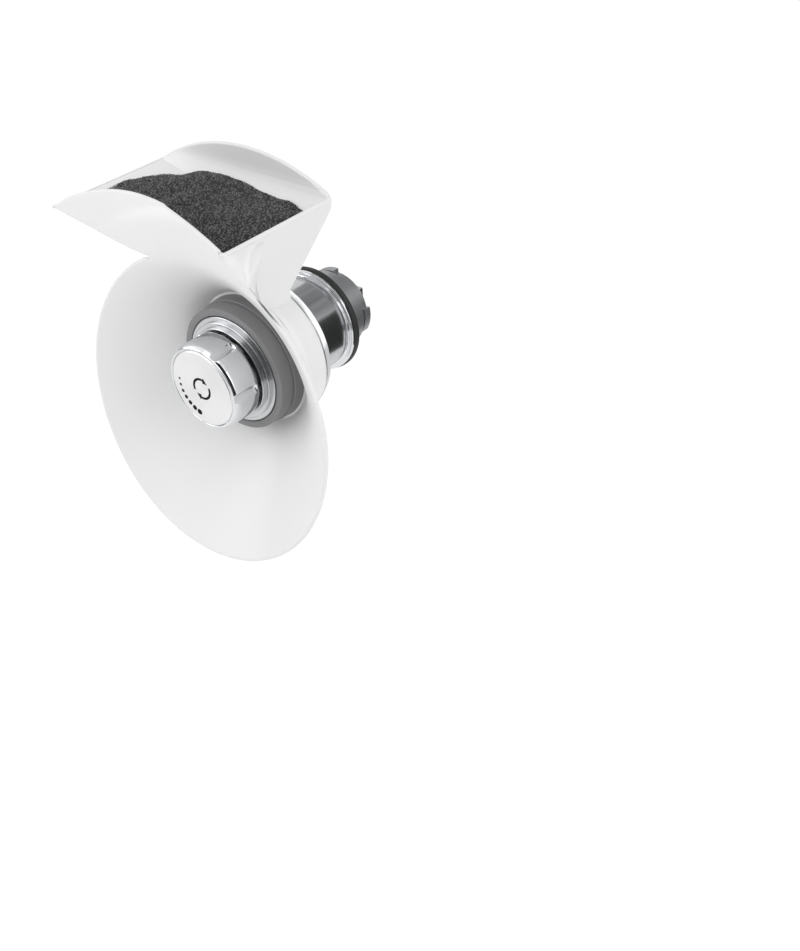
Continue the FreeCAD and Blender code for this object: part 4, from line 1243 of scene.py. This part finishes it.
bed_z = heap_level[:, None] - heap_sink + heap_crown * heap_share * (1 - heap_share)
rng = np.random.default_rng(11)
lumps = [(rng.uniform(-95, 18), rng.uniform(-80, -4), rng.uniform(2.5, 8), rng.normal(0, 0.5))
         for _ in range(lump_count)]
for x, y, width, height in lumps:
    bed_z = bed_z + height * np.exp(-((bed_x - x) ** 2 + (bed_y - y) ** 2) / width ** 2)
slump = np.clip((slump_x - bed_x) / slump_run, 0, 1) * np.clip((heap_share - 0.5) / 0.4, 0, 1)
bed_z = bed_z - slump_depth * slump
bed_z = np.maximum(bed_z, tip_z + heap_gap_floor - floor_slope * (bed_x - tip_x))
heap = bmesh.new()
verts = [[heap.verts.new(Vector((bed_x[i, j], bed_y[i, j], bed_z[i, j])) * MM) for j in range(heap_steps)]
         for i in range(len(heap_x))]
for i in range(len(heap_x) - 1):
    for j in range(heap_steps - 1):
        heap.faces.new((verts[i][j], verts[i + 1][j], verts[i + 1][j + 1], verts[i][j + 1]))
heap.normal_update()
bed = meshed("seed_bed", heap)
bed.shade_smooth()

poppy = finish("poppy_seed", grain, {
    "Scale": 1100, "Tone": (0.055, 0.055, 0.057, 1), "Depth": 0.6, "Roughness": 0.6, "Spread": 0.3,
}, bump=0.5)
seed_tone = poppy.node_tree.nodes.new("ShaderNodeAttribute")
seed_tone.attribute_name = "seed_tone"
seed_tones = tone_ramp(poppy.node_tree, (
    (0.0, (0.016, 0.016, 0.017, 1)), (0.6, (0.045, 0.045, 0.047, 1)), (1.0, (0.22, 0.22, 0.224, 1)),
))
poppy_color = poppy.node_tree.nodes["Principled BSDF"].inputs["Base Color"]
poppy.node_tree.links.new(seed_tone.outputs["Fac"], seed_tones.inputs["Fac"])
poppy.node_tree.links.new(seed_tones.outputs["Color"], poppy_color)

seeds_tree, given, result = new_tree("scattered_seeds", (
    ("Geometry", "Geometry"), ("Density", "Float"), ("Length", "Float"), ("Seed", "Int"),
    ("Material", "Material"),
))
made = seeds_tree.nodes
link = seeds_tree.links.new
strewn = made.new("GeometryNodeDistributePointsOnFaces")
link(given["Geometry"], strewn.inputs["Mesh"])
link(given["Density"], strewn.inputs["Density"])
link(given["Seed"], strewn.inputs["Seed"])
seed_turn = made.new("FunctionNodeRandomValue")
seed_turn.data_type = "FLOAT_VECTOR"
seed_turn.inputs["Max"].default_value = (2 * math.pi, 2 * math.pi, 2 * math.pi)
link(given["Seed"], seed_turn.inputs["Seed"])
seed_size = made.new("FunctionNodeRandomValue")
seed_size.data_type = "FLOAT"
seed_size.inputs[2].default_value = 0.75
seed_size.inputs[3].default_value = 1.15
seed_shade = made.new("FunctionNodeRandomValue")
seed_shade.data_type = "FLOAT"
seed_scale = sum_of(seeds_tree, "MULTIPLY", seed_size.outputs[1], given["Length"])
seed_shape = made.new("GeometryNodeMeshUVSphere")
seed_shape.inputs["Radius"].default_value = 0.52
seed_shape.inputs["Segments"].default_value = 4
seed_shape.inputs["Rings"].default_value = 2
seed_squash = made.new("GeometryNodeTransform")
seed_squash.inputs["Scale"].default_value = (1.0, 0.8, 0.72)
seed_smooth = made.new("GeometryNodeSetShadeSmooth")
seed_copies = made.new("GeometryNodeInstanceOnPoints")
seed_keep = made.new("GeometryNodeStoreNamedAttribute")
seed_keep.domain = "INSTANCE"
seed_keep.inputs["Name"].default_value = "seed_tone"
seed_join = made.new("GeometryNodeJoinGeometry")
seed_solid = made.new("GeometryNodeRealizeInstances")
seed_coat = made.new("GeometryNodeSetMaterial")
link(seed_shape.outputs["Mesh"], seed_squash.inputs["Geometry"])
link(seed_squash.outputs["Geometry"], seed_smooth.inputs["Geometry"])
link(strewn.outputs["Points"], seed_copies.inputs["Points"])
link(seed_smooth.outputs["Geometry"], seed_copies.inputs["Instance"])
link(seed_turn.outputs[0], seed_copies.inputs["Rotation"])
link(seed_scale, seed_copies.inputs["Scale"])
link(seed_copies.outputs["Instances"], seed_keep.inputs["Geometry"])
link(seed_shade.outputs[1], seed_keep.inputs["Value"])
link(seed_keep.outputs["Geometry"], seed_join.inputs["Geometry"])
link(given["Geometry"], seed_join.inputs["Geometry"])
link(seed_join.outputs["Geometry"], seed_solid.inputs["Geometry"])
link(seed_solid.outputs["Geometry"], seed_coat.inputs["Geometry"])
link(given["Material"], seed_coat.inputs["Material"])
link(seed_coat.outputs["Geometry"], result["Geometry"])
seeds_mesh = grown("poppy_seeds", seeds_tree, {
    "Density": 2.3e6, "Length": 1.15 * MM, "Seed": 5, "Material": poppy,
}, bed)
poppy_seeds = placed("poppy_seeds", seeds_mesh)
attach(poppy_seeds, "housing")
